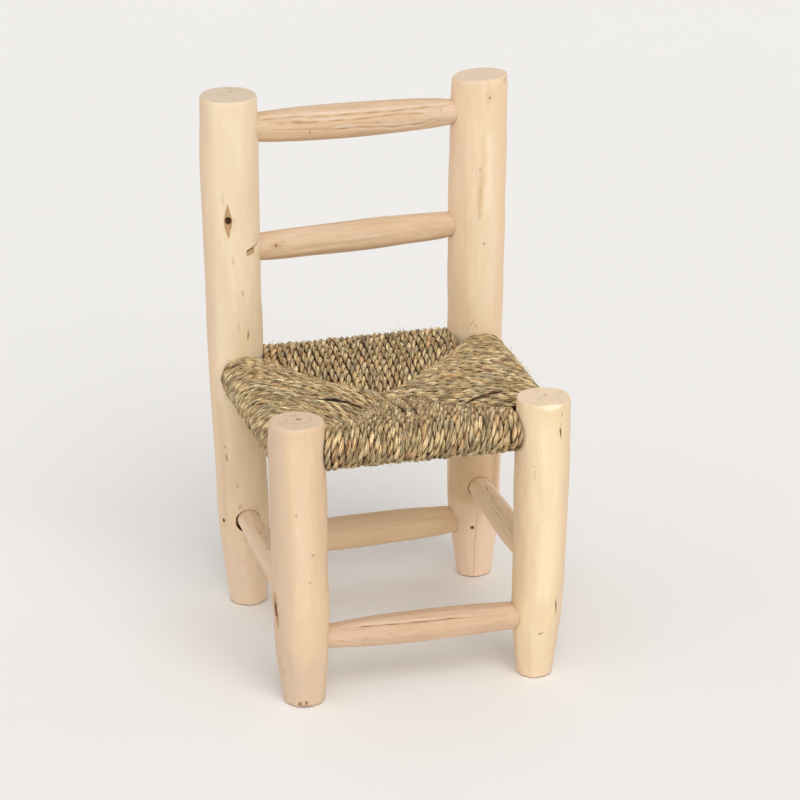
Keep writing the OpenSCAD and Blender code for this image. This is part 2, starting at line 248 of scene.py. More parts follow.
# Pinker (above zero) or paler (below zero) parts of a post: angle, half width, from height, to height, amount
SIDE_TONES = {
    "post_back_left": [
        (-165, 30, 40, 563, 0.5), (-45, 24, 440, 563, 0.3), (-100, 22, 80, 540, -0.25),
        (-60, 12, 0, 380, -0.15), (-115, 60, -9, 62, 0.5), (120, 34, 20, 300, 0.4),
        (70, 20, 240, 563, -0.3), (160, 22, 300, 520, 0.35),
    ],
    "post_back_right": [
        (-172, 28, 90, 563, 0.4), (-30, 26, 60, 563, 0.65), (-105, 60, -9, 60, -0.25),
        (-76, 13, -9, 52, -0.5), (-97, 26, 300, 520, -0.2), (110, 24, 260, 563, 0.4),
        (70, 26, 0, 220, -0.3), (150, 20, 120, 400, -0.2),
    ],
    "post_front_left": [
        (-155, 34, 20, 302, 0.75), (-100, 20, 100, 290, -0.3), (-115, 45, -9, 56, 0.5),
        (-40, 10, 120, 290, 0.2), (60, 34, 30, 240, -0.3), (130, 22, 90, 302, 0.3),
    ],
    "post_front_right": [
        (-30, 22, 40, 290, 0.45), (-150, 26, 90, 302, 0.3), (-88, 20, 90, 285, -0.4),
        (-95, 34, -9, 60, -0.2), (60, 30, 60, 302, 0.35), (130, 24, 0, 200, -0.25),
    ],
}
# Browner parts of a post, mostly painted shade under the seat and down the sides that get less light: angle,
# half width, from height, to height, amount
SIDE_SHADE_AND_STAINS = {
    "post_back_left": [(-95, 60, 90, 235, 0.21), (-166, 26, 60, 563, 0.20)],
    "post_back_right": [(-110, 70, 92, 235, 0.46), (-38, 24, 60, 563, 0.26)],
    "post_front_left": [(-58, 9, 120, 285, 0.12), (-168, 24, 40, 290, 0.12)],
    "post_front_right": [(-158, 22, 60, 250, 0.24)],
}


def side_sum(parts, angle, z):
    """Adds up parts of a post's surface: middle angle, half width, from height, to height, amount."""
    total = 0 * (angle + z)
    wavering = angle + 5 * np.sin(z / 37.0)
    for middle, half, low, high, amount in parts:
        side = smooth(half + 11, half - 11, np.abs(turned(wavering, middle)))
        total = total + amount * side * smooth(low - 9, low + 9, z) * smooth(high + 12, high - 12, z)
    return total


def shape_knot(skin):
    """A knot: a brown diamond on a low swelling, with a plugged hole in it."""
    across, up = skin.across(KNOT["angle"]), skin.place - KNOT["z"]
    uneven = 0.03 * np.sin(across * 1.9 + 0.6) + 0.02 * np.sin(up * 0.7)
    bulge = np.exp(-((across / 14) ** 2 + (up / 30) ** 2))
    diamond = 1 - (np.abs(across) / KNOT["wide"]) ** 1.1 - (np.abs(up) / KNOT["high"]) ** 1.2 + uneven
    inside = smooth(0, 0.14, diamond)
    outline = smooth(0.0, 0.10, diamond) * smooth(0.34, 0.14, diamond)
    hole = smooth(KNOT["hole"] + 0.5, KNOT["hole"] - 0.4, np.hypot(across - 0.2, (up - 0.6) * 0.88))
    plug = smooth(1.5, 0.9, np.hypot(across + 0.5, up - 0.2))
    skin.r = skin.r + 0.8 * bulge - 0.5 * inside - 2.2 * hole + 1.0 * plug
    # painted shade in the knot's hole, less over the plug
    skin.darken(hole * (1 - 0.30 * plug))
    skin.darken(np.maximum(0.34 * outline, 0.16 * inside))
    skin.brown(0.95 * inside)
    skin.brown(0.22 * np.exp(-((across / 7) ** 2 + (up / 26) ** 2)))


def shape_slit(skin):
    """A slit in a brown lens, beside a low swelling, with painted shade in the slit and along one edge of the
    lens.
    """
    up = skin.place - SLIT["z"]
    across = skin.across(np.interp(skin.place, *zip(*SLIT_LINE)))
    lens = 1 - (np.abs(across) / SLIT["wide"]) ** 1.6 - (np.abs(up) / SLIT["high"]) ** 2.4
    inside = smooth(0, 0.22, lens)
    core = smooth(3.1, 2.1, np.abs(across + 0.9)) * smooth(9.5, 5.5, np.abs(up + 1.5))
    core = np.maximum(core, 0.5 * smooth(1.6, 0.7, np.abs(across)) * smooth(19, 12, np.abs(up + 3)))
    edge = smooth(0, 0.1, lens) * smooth(0.4, 0.15, lens) * smooth(-1.5, 1.5, across)
    beside, above = turned(skin.angle, BULGE["angle"]) / 36, (skin.place - BULGE["z"]) / 26
    skin.r = skin.r + BULGE["out"] * np.exp(-(beside ** 2 + above ** 2))
    skin.r = skin.r - 0.5 * inside - 0.7 * core
    skin.brown(inside * 0.7)
    # painted shade in the slit and along one edge of the lens
    skin.darken(np.maximum(0.74 * core, 0.28 * edge))


def shape_lip(skin):
    """A slanting cut below the top edge, painted pale: partly the cut's own tone, partly a painted highlight
    where it tilts up.
    """
    before = skin.r
    height = POSTS["post_front_right"].height
    skin.r = facet(skin.r, skin.angle, LIP["angle"], LIP["distance"] + LIP["slope"] * (height - skin.place))
    # painted pale: partly the cut's own tone, partly a highlight where the facet tilts up
    skin.tone = skin.tone - 0.8 * smooth(0.10, 0.4, before - skin.r)


def shape_chip(skin):
    """A chip broken out beside the lower rail's mortise, golden at its tip, with a painted shadow along its
    upper edge and painted shade in its left end.
    """
    angle, z = skin.angle, skin.place
    upper, lower = np.interp(angle, *zip(*CHIP_UPPER)), np.interp(angle, *zip(*CHIP_LOWER))
    begun = smooth(CHIP["low"] - 1, CHIP["low"] + 1.5, angle)
    inside = begun * smooth(CHIP["high"], CHIP["high"] - 5, angle)
    wedge = inside * smooth(upper + 0.5, upper - 0.4, z) * smooth(lower - 0.8, lower + 1.2, z)
    skin.r = skin.r - wedge * (0.8 + 1.4 * smooth(0.0, 0.9, (z - lower) / np.maximum(upper - lower, 1)))
    # a painted shadow along the upper edge, where the post's skin overhangs the chip
    rim = begun * smooth(-8, -16, angle) * smooth(2.0, 1.0, np.abs(z - upper + 0.2))
    golden = wedge * smooth(-44, -50, angle) * smooth(upper - 1.0, upper - 1.9, z)
    skin.brown(0.95 * golden)
    skin.tone = np.maximum(skin.tone, 0.6 * wedge * (1 - golden))
    # painted shade in the chip's left end, under the overhanging skin
    left = inside * smooth(CHIP["low"] + 3.4, CHIP["low"] + 1.6, angle) * wedge
    skin.darken(np.maximum(0.74 * rim, 0.36 * left))


def shape_groove(skin):
    """A shallow winding groove, browner lower down, with a pale band beside it."""
    z = skin.place
    middle = (GROOVE["low"] + GROOVE["high"]) / 2
    half = (GROOVE["high"] - GROOVE["low"]) / 2
    across = skin.across(GROOVE["angle"] + (z - middle) * 0.03)
    across = across + 0.7 * np.sin(z / 13.0) + 0.3 * np.sin(z / 4.1)
    run = smooth(1.0, 0.7, np.abs(z - middle) / half)
    skin.r = skin.r - 0.15 * run * np.exp(-(across / 3.2) ** 2)
    browner = 0.22 + 0.26 * smooth(495, 440, z)
    skin.brown(browner * run * np.exp(-((across - 0.2) / 3.5) ** 2))
    skin.tone = skin.tone - 0.5 * run * np.exp(-((across - 7.5) / 3.0) ** 2)


def shape_split(skin):
    """A fine split that climbs from the foot, with one pale side."""
    z = skin.place
    drift = 0.45 * np.sin(z / 9) + 0.25 * np.sin(z / 3.7)
    across = skin.across(SPLIT["angle"] + SPLIT["slant"] * z) - drift
    run = smooth(SPLIT["low"] - 4, SPLIT["low"], z) * smooth(SPLIT["high"], SPLIT["high"] - 14, z)
    line = run * smooth(0.7, 0.15, np.abs(across))
    skin.r = skin.r - 0.6 * line
    # painted shade in the split
    skin.darken(0.16 * line * (0.6 + 0.4 * np.sin(z / 5.0)))
    skin.brown(0.5 * line)
    skin.tone = skin.tone - 0.5 * run * smooth(2.2, 1.2, np.abs(across - 1.7))


LOCAL_SHAPES = {
    "post_back_left": (shape_knot, shape_chip),
    "post_back_right": (shape_groove, shape_split),
    "post_front_left": (shape_slit,),
    "post_front_right": (shape_lip,),
}


def post_shape(name, angle, z):
    """The surface of a post at angles (degrees) and heights."""
    post = POSTS[name]
    rad = np.radians(angle)
    seed = sorted(POSTS).index(name)
    skin = Skin(angle, z, post_radius(name, z))
    oval = 1 + 0.012 * np.cos(2 * rad + math.radians(post.turn))
    oval = oval + 0.008 * np.cos(3 * rad - math.radians(post.turn) + np.radians(z / 3))
    broad = Ripples(10 + seed, 9, (1, 4), (70, 260)).at(rad, z)
    fine = Ripples(30 + seed, 16, (4, 13), (25, 120)).at(rad, z)
    r = skin.mean * oval + 0.28 * broad + 0.10 * fine
    low, high = post.foot_d / 2 * 0.96, post.body_d / 2 * 1.04
    for k in range(FOOT_CUTS):
        r = facet(r, angle, post.turn + 360 * k / FOOT_CUTS, low + (high - low) * z / post.taper)
    for direction, at_floor, at_top, top in CUTS[name]:
        r = facet(r, angle, direction, at_floor + (at_top - at_floor) * z / top)
    growth = np.maximum(0, (z - post.taper) / (post.height - post.taper))
    uncut = post.body_d / 2 + (post.top_d - post.body_d) / 2 * growth
    skin.cut = np.maximum(0, uncut - r) * smooth(post.taper * 1.1, post.taper * 0.8, z)
    skin.tone = side_sum(SIDE_TONES[name], angle, z)
    # painted shade under the seat and down the duller sides, stored with the brown stains
    skin.stain = side_sum(SIDE_SHADE_AND_STAINS[name], angle, z)
    skin.r = r
    for add_shape in LOCAL_SHAPES[name]:
        add_shape(skin)
    worn_top = np.clip(1 - (post.height - z) / TOP_EDGE, 0, 1)
    worn_foot = np.clip(1 - z / FOOT_EDGE, 0, 1)
    skin.r = skin.r - EDGE_ROUND[name] * (0.45 * worn_top + 0.55 * (1 - np.sqrt(1 - worn_top ** 2)))
    skin.r = skin.r - FOOT_ROUND * (1 - np.sqrt(1 - worn_foot ** 2))
    return skin


# Meshes


def refined(start, stop, step, zones):
    """Places from start to stop, closer together inside the zones (from, to, step)."""
    places = [start]
    while places[-1] < stop - 1e-6:
        here = places[-1]
        gap = step
        for lo, hi, fine in zones:
            if lo - step < here < hi:
                gap = min(gap, fine)
        places.append(min(stop, here + gap))
    if len(places) > 2 and places[-1] - places[-2] < step * 0.2:
        del places[-2]
    return np.array(places)


def grid_faces(rows, columns, closed=True, first=0):
    """Quads between neighbouring rows of points."""
    i = np.arange(rows - 1)[:, None] * columns
    last = columns if closed else columns - 1
    j = np.arange(last)[None, :]
    k = (j + 1) % columns
    quads = np.stack([i + j, i + k, i + columns + k, i + columns + j], -1).reshape(-1, 4)
    return (quads + first).tolist()


def stick_faces(rows, columns, first=0):
    """Faces of a stick made of rows of points, closed at both ends."""
    start, stop = first, first + (rows - 1) * columns
    ends = [list(range(start, start + columns))[::-1], list(range(stop, stop + columns))]
    return grid_faces(rows, columns, first=first) + ends


def make_piece(name, points, faces, material, replaced):
    """A smooth piece from points in millimetres, riding on the chair's one body, in place of a solid."""
    mesh = bpy.data.meshes.new(name)
    mesh.from_pydata((np.asarray(points) * MM).tolist(), [], faces)
    mesh.validate()
    mesh.materials.append(material)
    mesh.shade_smooth()
    piece = bpy.data.objects.new(name, mesh)
    bpy.context.scene.collection.objects.link(piece)
    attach(piece, "root")
    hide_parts(replaced)
    return piece


def give(mesh, **layers):
    """Stores numbers or vectors, one for each point, for the materials to read."""
    for name, values in layers.items():
        values = np.asarray(values, np.float32)
        kind, key = ("FLOAT_VECTOR", "vector") if values.ndim == 2 else ("FLOAT", "value")
        mesh.attributes.new(name, kind, "POINT").data.foreach_set(key, values.ravel())


def dress(node, material):
    """Gives a solid its material."""
    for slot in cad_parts[node].material_slots:
        slot.material = material


def points_of(mesh):
    """The mesh's points in millimetres."""
    co = np.empty(len(mesh.vertices) * 3, np.float32)
    mesh.vertices.foreach_get("co", co)
    return co.reshape(-1, 3).astype(float) / MM


def drill(name, start, stop, radius, sides=48):
    """A round cutter between two points in millimetres."""
    start, stop = np.asarray(start, float), np.asarray(stop, float)
    axis = unit(stop - start)
    u = unit(np.cross(axis, [0.3, 0.5, 0.8]))
    w = np.cross(axis, u)
    a = np.arange(sides) * 2 * np.pi / sides
    ring = radius * (np.cos(a)[:, None] * u + np.sin(a)[:, None] * w)
    points = np.concatenate([start + ring, stop + ring])
    mesh = bpy.data.meshes.new(name)
    mesh.from_pydata((points * MM).tolist(), [], stick_faces(2, sides))
    return bpy.data.objects.new(name, mesh)


def nail_drill(nail):
    """A cutter for a nail's hole, from outside the post to a little past its middle."""
    way = np.array(nail.way, float)
    middle = post_axis(nail.post, nail.z) + np.array([*nail.offset, 0])
    start = middle - way * (float(post_radius(nail.post, nail.z)) + NAIL_OUTSIDE)
    return drill("nail_bore", start, middle + way * NAIL_PAST_MIDDLE, NAIL_R + NAIL_PLAY, 24)


def cut_away(piece, cutters):
    """Takes the cutters out of the piece's mesh."""
    for cutter in cutters:
        bpy.context.scene.collection.objects.link(cutter)
        change = piece.modifiers.new("cut", "BOOLEAN")
        change.operation = "DIFFERENCE"
        change.solver = "MANIFOLD"
        change.object = cutter
    graph = bpy.context.evaluated_depsgraph_get()
    result = bpy.data.meshes.new_from_object(piece.evaluated_get(graph))
    piece.modifiers.clear()
    old = piece.data
    piece.data = result
    bpy.data.meshes.remove(old)
    for cutter in cutters:
        mesh = cutter.data
        bpy.data.objects.remove(cutter)
        bpy.data.meshes.remove(mesh)
    if len(piece.data.polygons) == 0:
        raise RuntimeError(f"{piece.name} came out empty")


# Materials


def tinted(colour, shares):
    """A colour with its red, green and blue multiplied by three shares, or all by one, kept within 1."""
    if isinstance(shares, (int, float)):
        shares = (shares,) * 3
    return [min(1.0, v * share) for v, share in zip(colour, shares)]


class Nodes:
    """Adds shader nodes to one empty tree."""

    def __init__(self, tree):
        tree.nodes.clear()
        self.tree = tree

    def feed(self, socket, value):
        """Gives an input a number, a colour or another node's output."""
        if isinstance(value, bpy.types.NodeSocket):
            self.tree.links.new(value, socket)
        elif socket.type == "RGBA":
            socket.default_value = (*value[:3], 1)
        else:
            socket.default_value = value

    def put(self, kind, inputs=None, **settings):
        """Adds a node of that kind with its inputs and settings."""
        made = self.tree.nodes.new("ShaderNode" + kind)
        for key, value in settings.items():
            setattr(made, key, value)
        for key, value in (inputs or {}).items():
            self.feed(made.inputs[key], value)
        return made

    def attribute(self, name, output="Fac"):
        """A number or vector that the mesh holds for each point."""
        return self.put("Attribute", attribute_name=name).outputs[output]

    def place(self):
        """The place on the piece, in metres."""
        return self.put("TexCoord").outputs["Object"]

    def noise(self, vector, size, detail=2.0, roughness=0.5, distortion=0.0):
        """Noise whose grains are about size metres, a number or one for each axis."""
        scale = [1 / s for s in size] if isinstance(size, (tuple, list)) else [1 / size] * 3
        mapped = self.put("Mapping", {"Vector": vector, "Scale": scale})
        inputs = {"Vector": mapped.outputs[0], "Scale": 1.0, "Detail": detail, "Roughness": roughness}
        inputs["Distortion"] = distortion
        return self.put("TexNoise", inputs).outputs["Fac"]

    def ramp(self, factor, stops):
        """A colour ramp from (place, colour) pairs."""
        made = self.put("ValToRGB", {"Fac": factor})
        elements = made.color_ramp.elements
        while len(elements) < len(stops):
            elements.new(0.5)
        for element, (place, colour) in zip(elements, stops):
            element.position = place
            element.color = (*colour, 1)
        return made.outputs["Color"]

    def level(self, factor, low, high, to_low=0.0, to_high=1.0):
        """Stretches the range low to high onto another range, without overshoot."""
        inputs = {"Value": factor, "From Min": low, "From Max": high, "To Min": to_low, "To Max": to_high}
        return self.put("MapRange", inputs).outputs["Result"]

    def calc(self, operation, a, b=0.0):
        """One step of arithmetic."""
        return self.put("Math", {0: a, 1: b}, operation=operation).outputs[0]

    def times(self, a, b):
        """The product of two values."""
        return self.calc("MULTIPLY", a, b)

    def plus(self, a, b):
        """The sum of two values."""
        return self.calc("ADD", a, b)

    def minus(self, a, b):
        """The difference of two values."""
        return self.calc("SUBTRACT", a, b)

    def move(self, a, b, operation):
        """One step of vector arithmetic; b is a vector, or a number for SCALE."""
        second = "Scale" if operation == "SCALE" else 1
        return self.put("VectorMath", {0: a, second: b}, operation=operation).outputs[0]

    def blend(self, factor, a, b, kind="MIX"):
        """Goes from colour a to colour b as the factor rises."""
        made = self.put("Mix", {0: factor, 6: a, 7: b}, data_type="RGBA", blend_type=kind)
        return made.outputs[2]

    def relief(self, height, strength, distance):
        """A bumpy normal from a height."""
        return self.put("Bump", {"Height": height, "Strength": strength, "Distance": distance}).outputs[0]

    def surface(self, inputs):
        """The finished surface, joined to the material's output."""
        shader = self.put("BsdfPrincipled", inputs)
        self.put("OutputMaterial", {"Surface": shader.outputs[0]})


def new_material(name):
    """An empty material and its nodes."""
    material = bpy.data.materials.new(name)
    material.use_nodes = True
    return material, Nodes(material.node_tree)


# A mark on wood: its place, its three half sizes, its turn about each axis and its strength
Mark = namedtuple("Mark", "place half turn strength")


def mark_mask(nodes, vector, marks):
    """Strength where a mark lies, 0 elsewhere."""
    total = None
    for mark in marks:
        inputs = {"Vector": vector, "Location": [v * MM for v in mark.place]}
        inputs["Scale"] = [v * MM for v in mark.half]
        inputs["Rotation"] = [math.radians(v) for v in mark.turn]
        mapped = nodes.put("Mapping", inputs, vector_type="TEXTURE")
        spot = nodes.put("TexGradient", {"Vector": mapped.outputs[0]}, gradient_type="SPHERICAL")
        spot = nodes.level(spot.outputs["Fac"], 0.05, 0.55, 0.0, mark.strength)
        total = spot if total is None else nodes.calc("MAXIMUM", total, spot)
    return total


# What sets one stick's wood apart: its colours, the axis its fibres run along, its marks, how strongly its
# streaks, rings, whittled tone and the middle of its sawn top show, its place in the noise, and how bright
# the sawn top is
Wood = namedtuple(
    "Wood", "pale warm pink grain marks streaks rings_shown whittled seed sawn_share pith",
    defaults=((), 0.5, 0.0, 1.0, 0.0, 1.0, 0.5),
)
# painted shade in holes, cracks, knife strokes and mortises, from warm brown to near black; also a knot's
# dark rim
DARK_AND_SHADE_TONES = [(0.1, (0.42, 0.23, 0.10)), (0.5, (0.20, 0.085, 0.028)), (0.85, (0.050, 0.018, 0.007))]
# brown and golden stains, which also paint the shade under the seat and down a post's duller sides
BROWN_STAIN_AND_SHADE = [(0.3, (0.36, 0.19, 0.08)), (0.7, (0.62, 0.37, 0.17))]
GOLDEN_STAIN_AND_SHADE = (0.68, 0.43, 0.19)
MARK_TONES = [(0.0, (0.46, 0.25, 0.11)), (0.8, (0.17, 0.07, 0.022))]
FLECK_TONE = (0.46, 0.29, 0.16)
PITH_TONE = (0.30, 0.15, 0.07)
FOOT_LINE_TONE = (0.20, 0.085, 0.035)
RING_WIDTH = 1.9  # millimetres from one growth ring to the next
OLD_RING = 16.5  # radius of the darkest ring on a sawn top


class WoodFinish:
    """Peeled wood, built up as a carver sees it: tones, rings, fibres, sawn end, flecks, stains that are
    partly painted shade, and the painted shade of hollows.
    """

    def __init__(self, name, wood):
        self.wood = wood
        self.material, self.nodes = new_material(name)
        self.coord = self.nodes.place()
        shift = (wood.seed, wood.seed * 0.7, wood.seed * 1.3)
        self.place = self.nodes.put("Mapping", {"Vector": self.coord, "Location": shift}).outputs[0]
        self.ring = self.nodes.attribute("ring")
        self.light = tinted(wood.pale, (1.05, 1.07, 1.10))
        self.dull = tinted(wood.warm, (0.86, 0.78, 0.68))
        self.ring_tone = tinted(wood.warm, (0.84, 0.73, 0.60))
        self.streak = self.grained(0.0030, 0.085, 3.0, 0.6, 0.2)
        self.fibre = self.grained(0.00055, 0.014, 3.0, 0.6)

    def grained(self, across, length, *more):
        """Noise drawn out along the fibres."""
        size = [length if axis == self.wood.grain else across for axis in "XYZ"]
        return self.nodes.noise(self.place, size, *more)

    def tones(self):
        """Broad pale and warm areas, soft pink patches, long faint streaks, the pinker or paler sides, and
        the painted highlights on the ridges beside knife strokes.
        """
        nodes, wood = self.nodes, self.wood
        broad = self.grained(0.040, 0.15, 3.0, 0.5, 0.3)
        colour = nodes.blend(nodes.level(broad, 0.36, 0.66), wood.pale, wood.warm)
        patches = self.grained(0.019, 0.085, 3.0, 0.55, 0.5)
        colour = nodes.blend(nodes.level(patches, 0.50, 0.74, 0.0, 0.45), colour, wood.pink)
        scraped = self.grained(0.010, 0.060, 3.0, 0.6, 0.4)
        colour = nodes.blend(nodes.level(scraped, 0.54, 0.74, 0.0, 0.6), colour, self.light)
        colour = nodes.blend(nodes.level(self.streak, 0.55, 0.76, 0.0, wood.streaks), colour, self.dull)
        pale_streaks = nodes.level(self.streak, 0.44, 0.28, 0.0, 0.2 + 0.3 * wood.streaks)
        colour = nodes.blend(pale_streaks, colour, self.light)
        mottled = nodes.level(scraped, 0.38, 0.62, 0.65, 1.25)
        tone = nodes.attribute("tone")
        palest = tinted(wood.pale, (1.12, 1.20, 1.32))
        colour = nodes.blend(nodes.times(nodes.level(tone, 0.0, 1.0), mottled), colour, wood.pink)
        return nodes.blend(nodes.times(nodes.level(tone, 0.0, -1.0), mottled), colour, palest)

    def rings(self, cut):
        """Growth rings, and how far they come out where the knife has cut across them."""
        nodes = self.nodes
        wobble = self.grained(0.006, 0.03, 2.0)
        rings = nodes.times(self.ring, 2 * math.pi / RING_WIDTH)
        rings = nodes.plus(rings, nodes.times(wobble, 6.0))
        rings = nodes.level(nodes.calc("SINE", rings), 0.1, 1.0)
        shown = nodes.level(self.grained(0.02, 0.06, 2.0), 0.40, 0.64, 0.0, 0.30)
        return rings, nodes.times(shown, nodes.level(cut, 0.1, 1.0, self.wood.rings_shown, 1.0))

    def sawn_end(self, rings):
        """The sawn top: greyer and patchy, with one old ring and a dark middle."""
        nodes, wood = self.nodes, self.wood
        dark = tinted(tinted(wood.pink, (0.84, 0.86, 0.90)), wood.sawn_share)
        pale = tinted(tinted(wood.pale, (0.90, 0.92, 0.98)), wood.sawn_share)
        sawn = nodes.ramp(nodes.noise(self.coord, 0.0012, 4.0, 0.7), [(0.15, dark), (0.58, pale)])
        sawn = nodes.blend(nodes.times(rings, 0.12), sawn, self.ring_tone)
        patchy = nodes.noise(self.coord, 0.011, 3.0, 0.6, 0.6)
        pinkish = tinted(wood.pink, (0.82, 0.82, 0.80))
        sawn = nodes.blend(nodes.level(patchy, 0.48, 0.68, 0.0, 0.32), sawn, pinkish)
        uneven_ring = nodes.plus(self.ring, nodes.times(patchy, 9.0))
        from_old_ring = nodes.calc("ABSOLUTE", nodes.minus(uneven_ring, OLD_RING))
        old_ring = nodes.level(from_old_ring, 2.8, 0.6, 0.0, 0.5 * wood.pith)
        old_ring = nodes.times(old_ring, nodes.level(patchy, 0.40, 0.60))
        sawn = nodes.blend(old_ring, sawn, tinted(dark, (0.66, 0.56, 0.46)))
        smudge = nodes.plus(self.ring, nodes.times(nodes.noise(self.coord, 0.004, 3.0, 0.7), 5.0))
        return nodes.blend(nodes.level(smudge, 3.6, 6.6, wood.pith, 0.0), sawn, PITH_TONE)

    def flecks(self, colour):
        """Sparse brown flecks, and the stick's own marks with ragged edges."""
        nodes = self.nodes
        spots = nodes.level(self.grained(0.0014, 0.009, 2.0, 0.45), 0.72, 0.80)
        sparse = nodes.level(nodes.noise(self.place, 0.028, 1.0), 0.55, 0.68)
        colour = nodes.blend(nodes.times(nodes.times(spots, sparse), 0.40), colour, FLECK_TONE)
        if not self.wood.marks:
            return colour
        ragged = nodes.put("TexNoise", {"Vector": self.coord, "Scale": 420.0, "Detail": 1.0})
        shift = nodes.move(ragged.outputs["Color"], (0.5, 0.5, 0.5), "SUBTRACT")
        moved = nodes.move(self.coord, nodes.move(shift, 0.0022, "SCALE"), "ADD")
        mask = mark_mask(nodes, moved, self.wood.marks)
        return nodes.blend(mask, colour, nodes.ramp(mask, MARK_TONES))

    def stains(self, colour):
        """Golden to brown stains, partly painted shade under the seat and down a post's duller sides, and the
        painted shade of hollows.
        """
        nodes = self.nodes
        stain, hollow = nodes.attribute("stain"), nodes.attribute("hollow")
        brown = nodes.ramp(self.grained(0.0012, 0.012, 3.0, 0.6), BROWN_STAIN_AND_SHADE)
        stained = nodes.blend(nodes.level(stain, 0.25, 0.60), GOLDEN_STAIN_AND_SHADE, brown)
        colour = nodes.blend(nodes.level(stain, 0.05, 1.0, 0.0, 0.92), colour, stained)
        return nodes.blend(nodes.level(hollow, 0.06, 0.70), colour, nodes.ramp(hollow, DARK_AND_SHADE_TONES))

    def dark_foot_line(self, colour):
        """A ragged dark line where a post meets the floor."""
        nodes = self.nodes
        height = nodes.put("SeparateXYZ", {"Vector": self.coord}).outputs["Z"]
        edge = nodes.minus(height, nodes.times(nodes.noise(self.coord, 0.006, 3.0), 0.0022))
        return nodes.blend(nodes.level(edge, 0.0003, -0.0005, 0.0, 0.85), colour, FOOT_LINE_TONE)

    def build(self):
        """Puts the layers together and returns the material."""
        nodes, wood = self.nodes, self.wood
        cut = nodes.attribute("cut")
        rings, shown = self.rings(cut)
        colour = nodes.blend(nodes.times(rings, shown), self.tones(), self.ring_tone)
        colour = nodes.blend(nodes.level(cut, 0.25, 2.4, 0.0, 0.8 * wood.whittled), colour, wood.pink)
        dark_fibres = nodes.level(self.fibre, 0.35, 0.78, 0.0, 0.08 + 0.18 * wood.streaks)
        colour = nodes.blend(dark_fibres, colour, self.dull)
        pale_fibres = nodes.level(self.fibre, 0.45, 0.22, 0.0, 0.10 + 0.20 * wood.streaks)
        colour = nodes.blend(pale_fibres, colour, self.light)
        colour = nodes.blend(nodes.attribute("end_grain"), colour, self.sawn_end(rings))
        colour = self.stains(self.flecks(colour))
        if wood.grain == "Z":
            colour = self.dark_foot_line(colour)
        rough = nodes.level(self.fibre, 0.25, 0.8, 0.56, 0.72)
        lines = nodes.plus(nodes.times(self.fibre, 0.8), nodes.times(self.streak, 0.5))
        lines = nodes.minus(lines, nodes.times(nodes.times(rings, shown), 0.35))
        nodes.surface({
            "Base Color": colour,
            "Roughness": rough,
            "Specular IOR Level": 0.25,
            "Normal": nodes.relief(lines, 0.4, 0.00032),
        })
        return self.material


# The rope's colours, and how bright one field of it is
Grass = namedtuple("Grass", "straw green brown tan brightness")
RUST_BLADE = (0.80, 0.46, 0.20)
DARK_BLADE = (0.16, 0.095, 0.05)
# painted shade between the plies, multiplied into the rope's colour
SHADE_BETWEEN_PLIES = (0.17, 0.09, 0.035)
# painted shade deep in an open gap between turns
SHADE_IN_GAP = (0.012, 0.009, 0.008)
RIPE_GRASS = (1.0, 0.88, 0.74)
YOUNG_GRASS = (0.93, 0.94, 0.80)


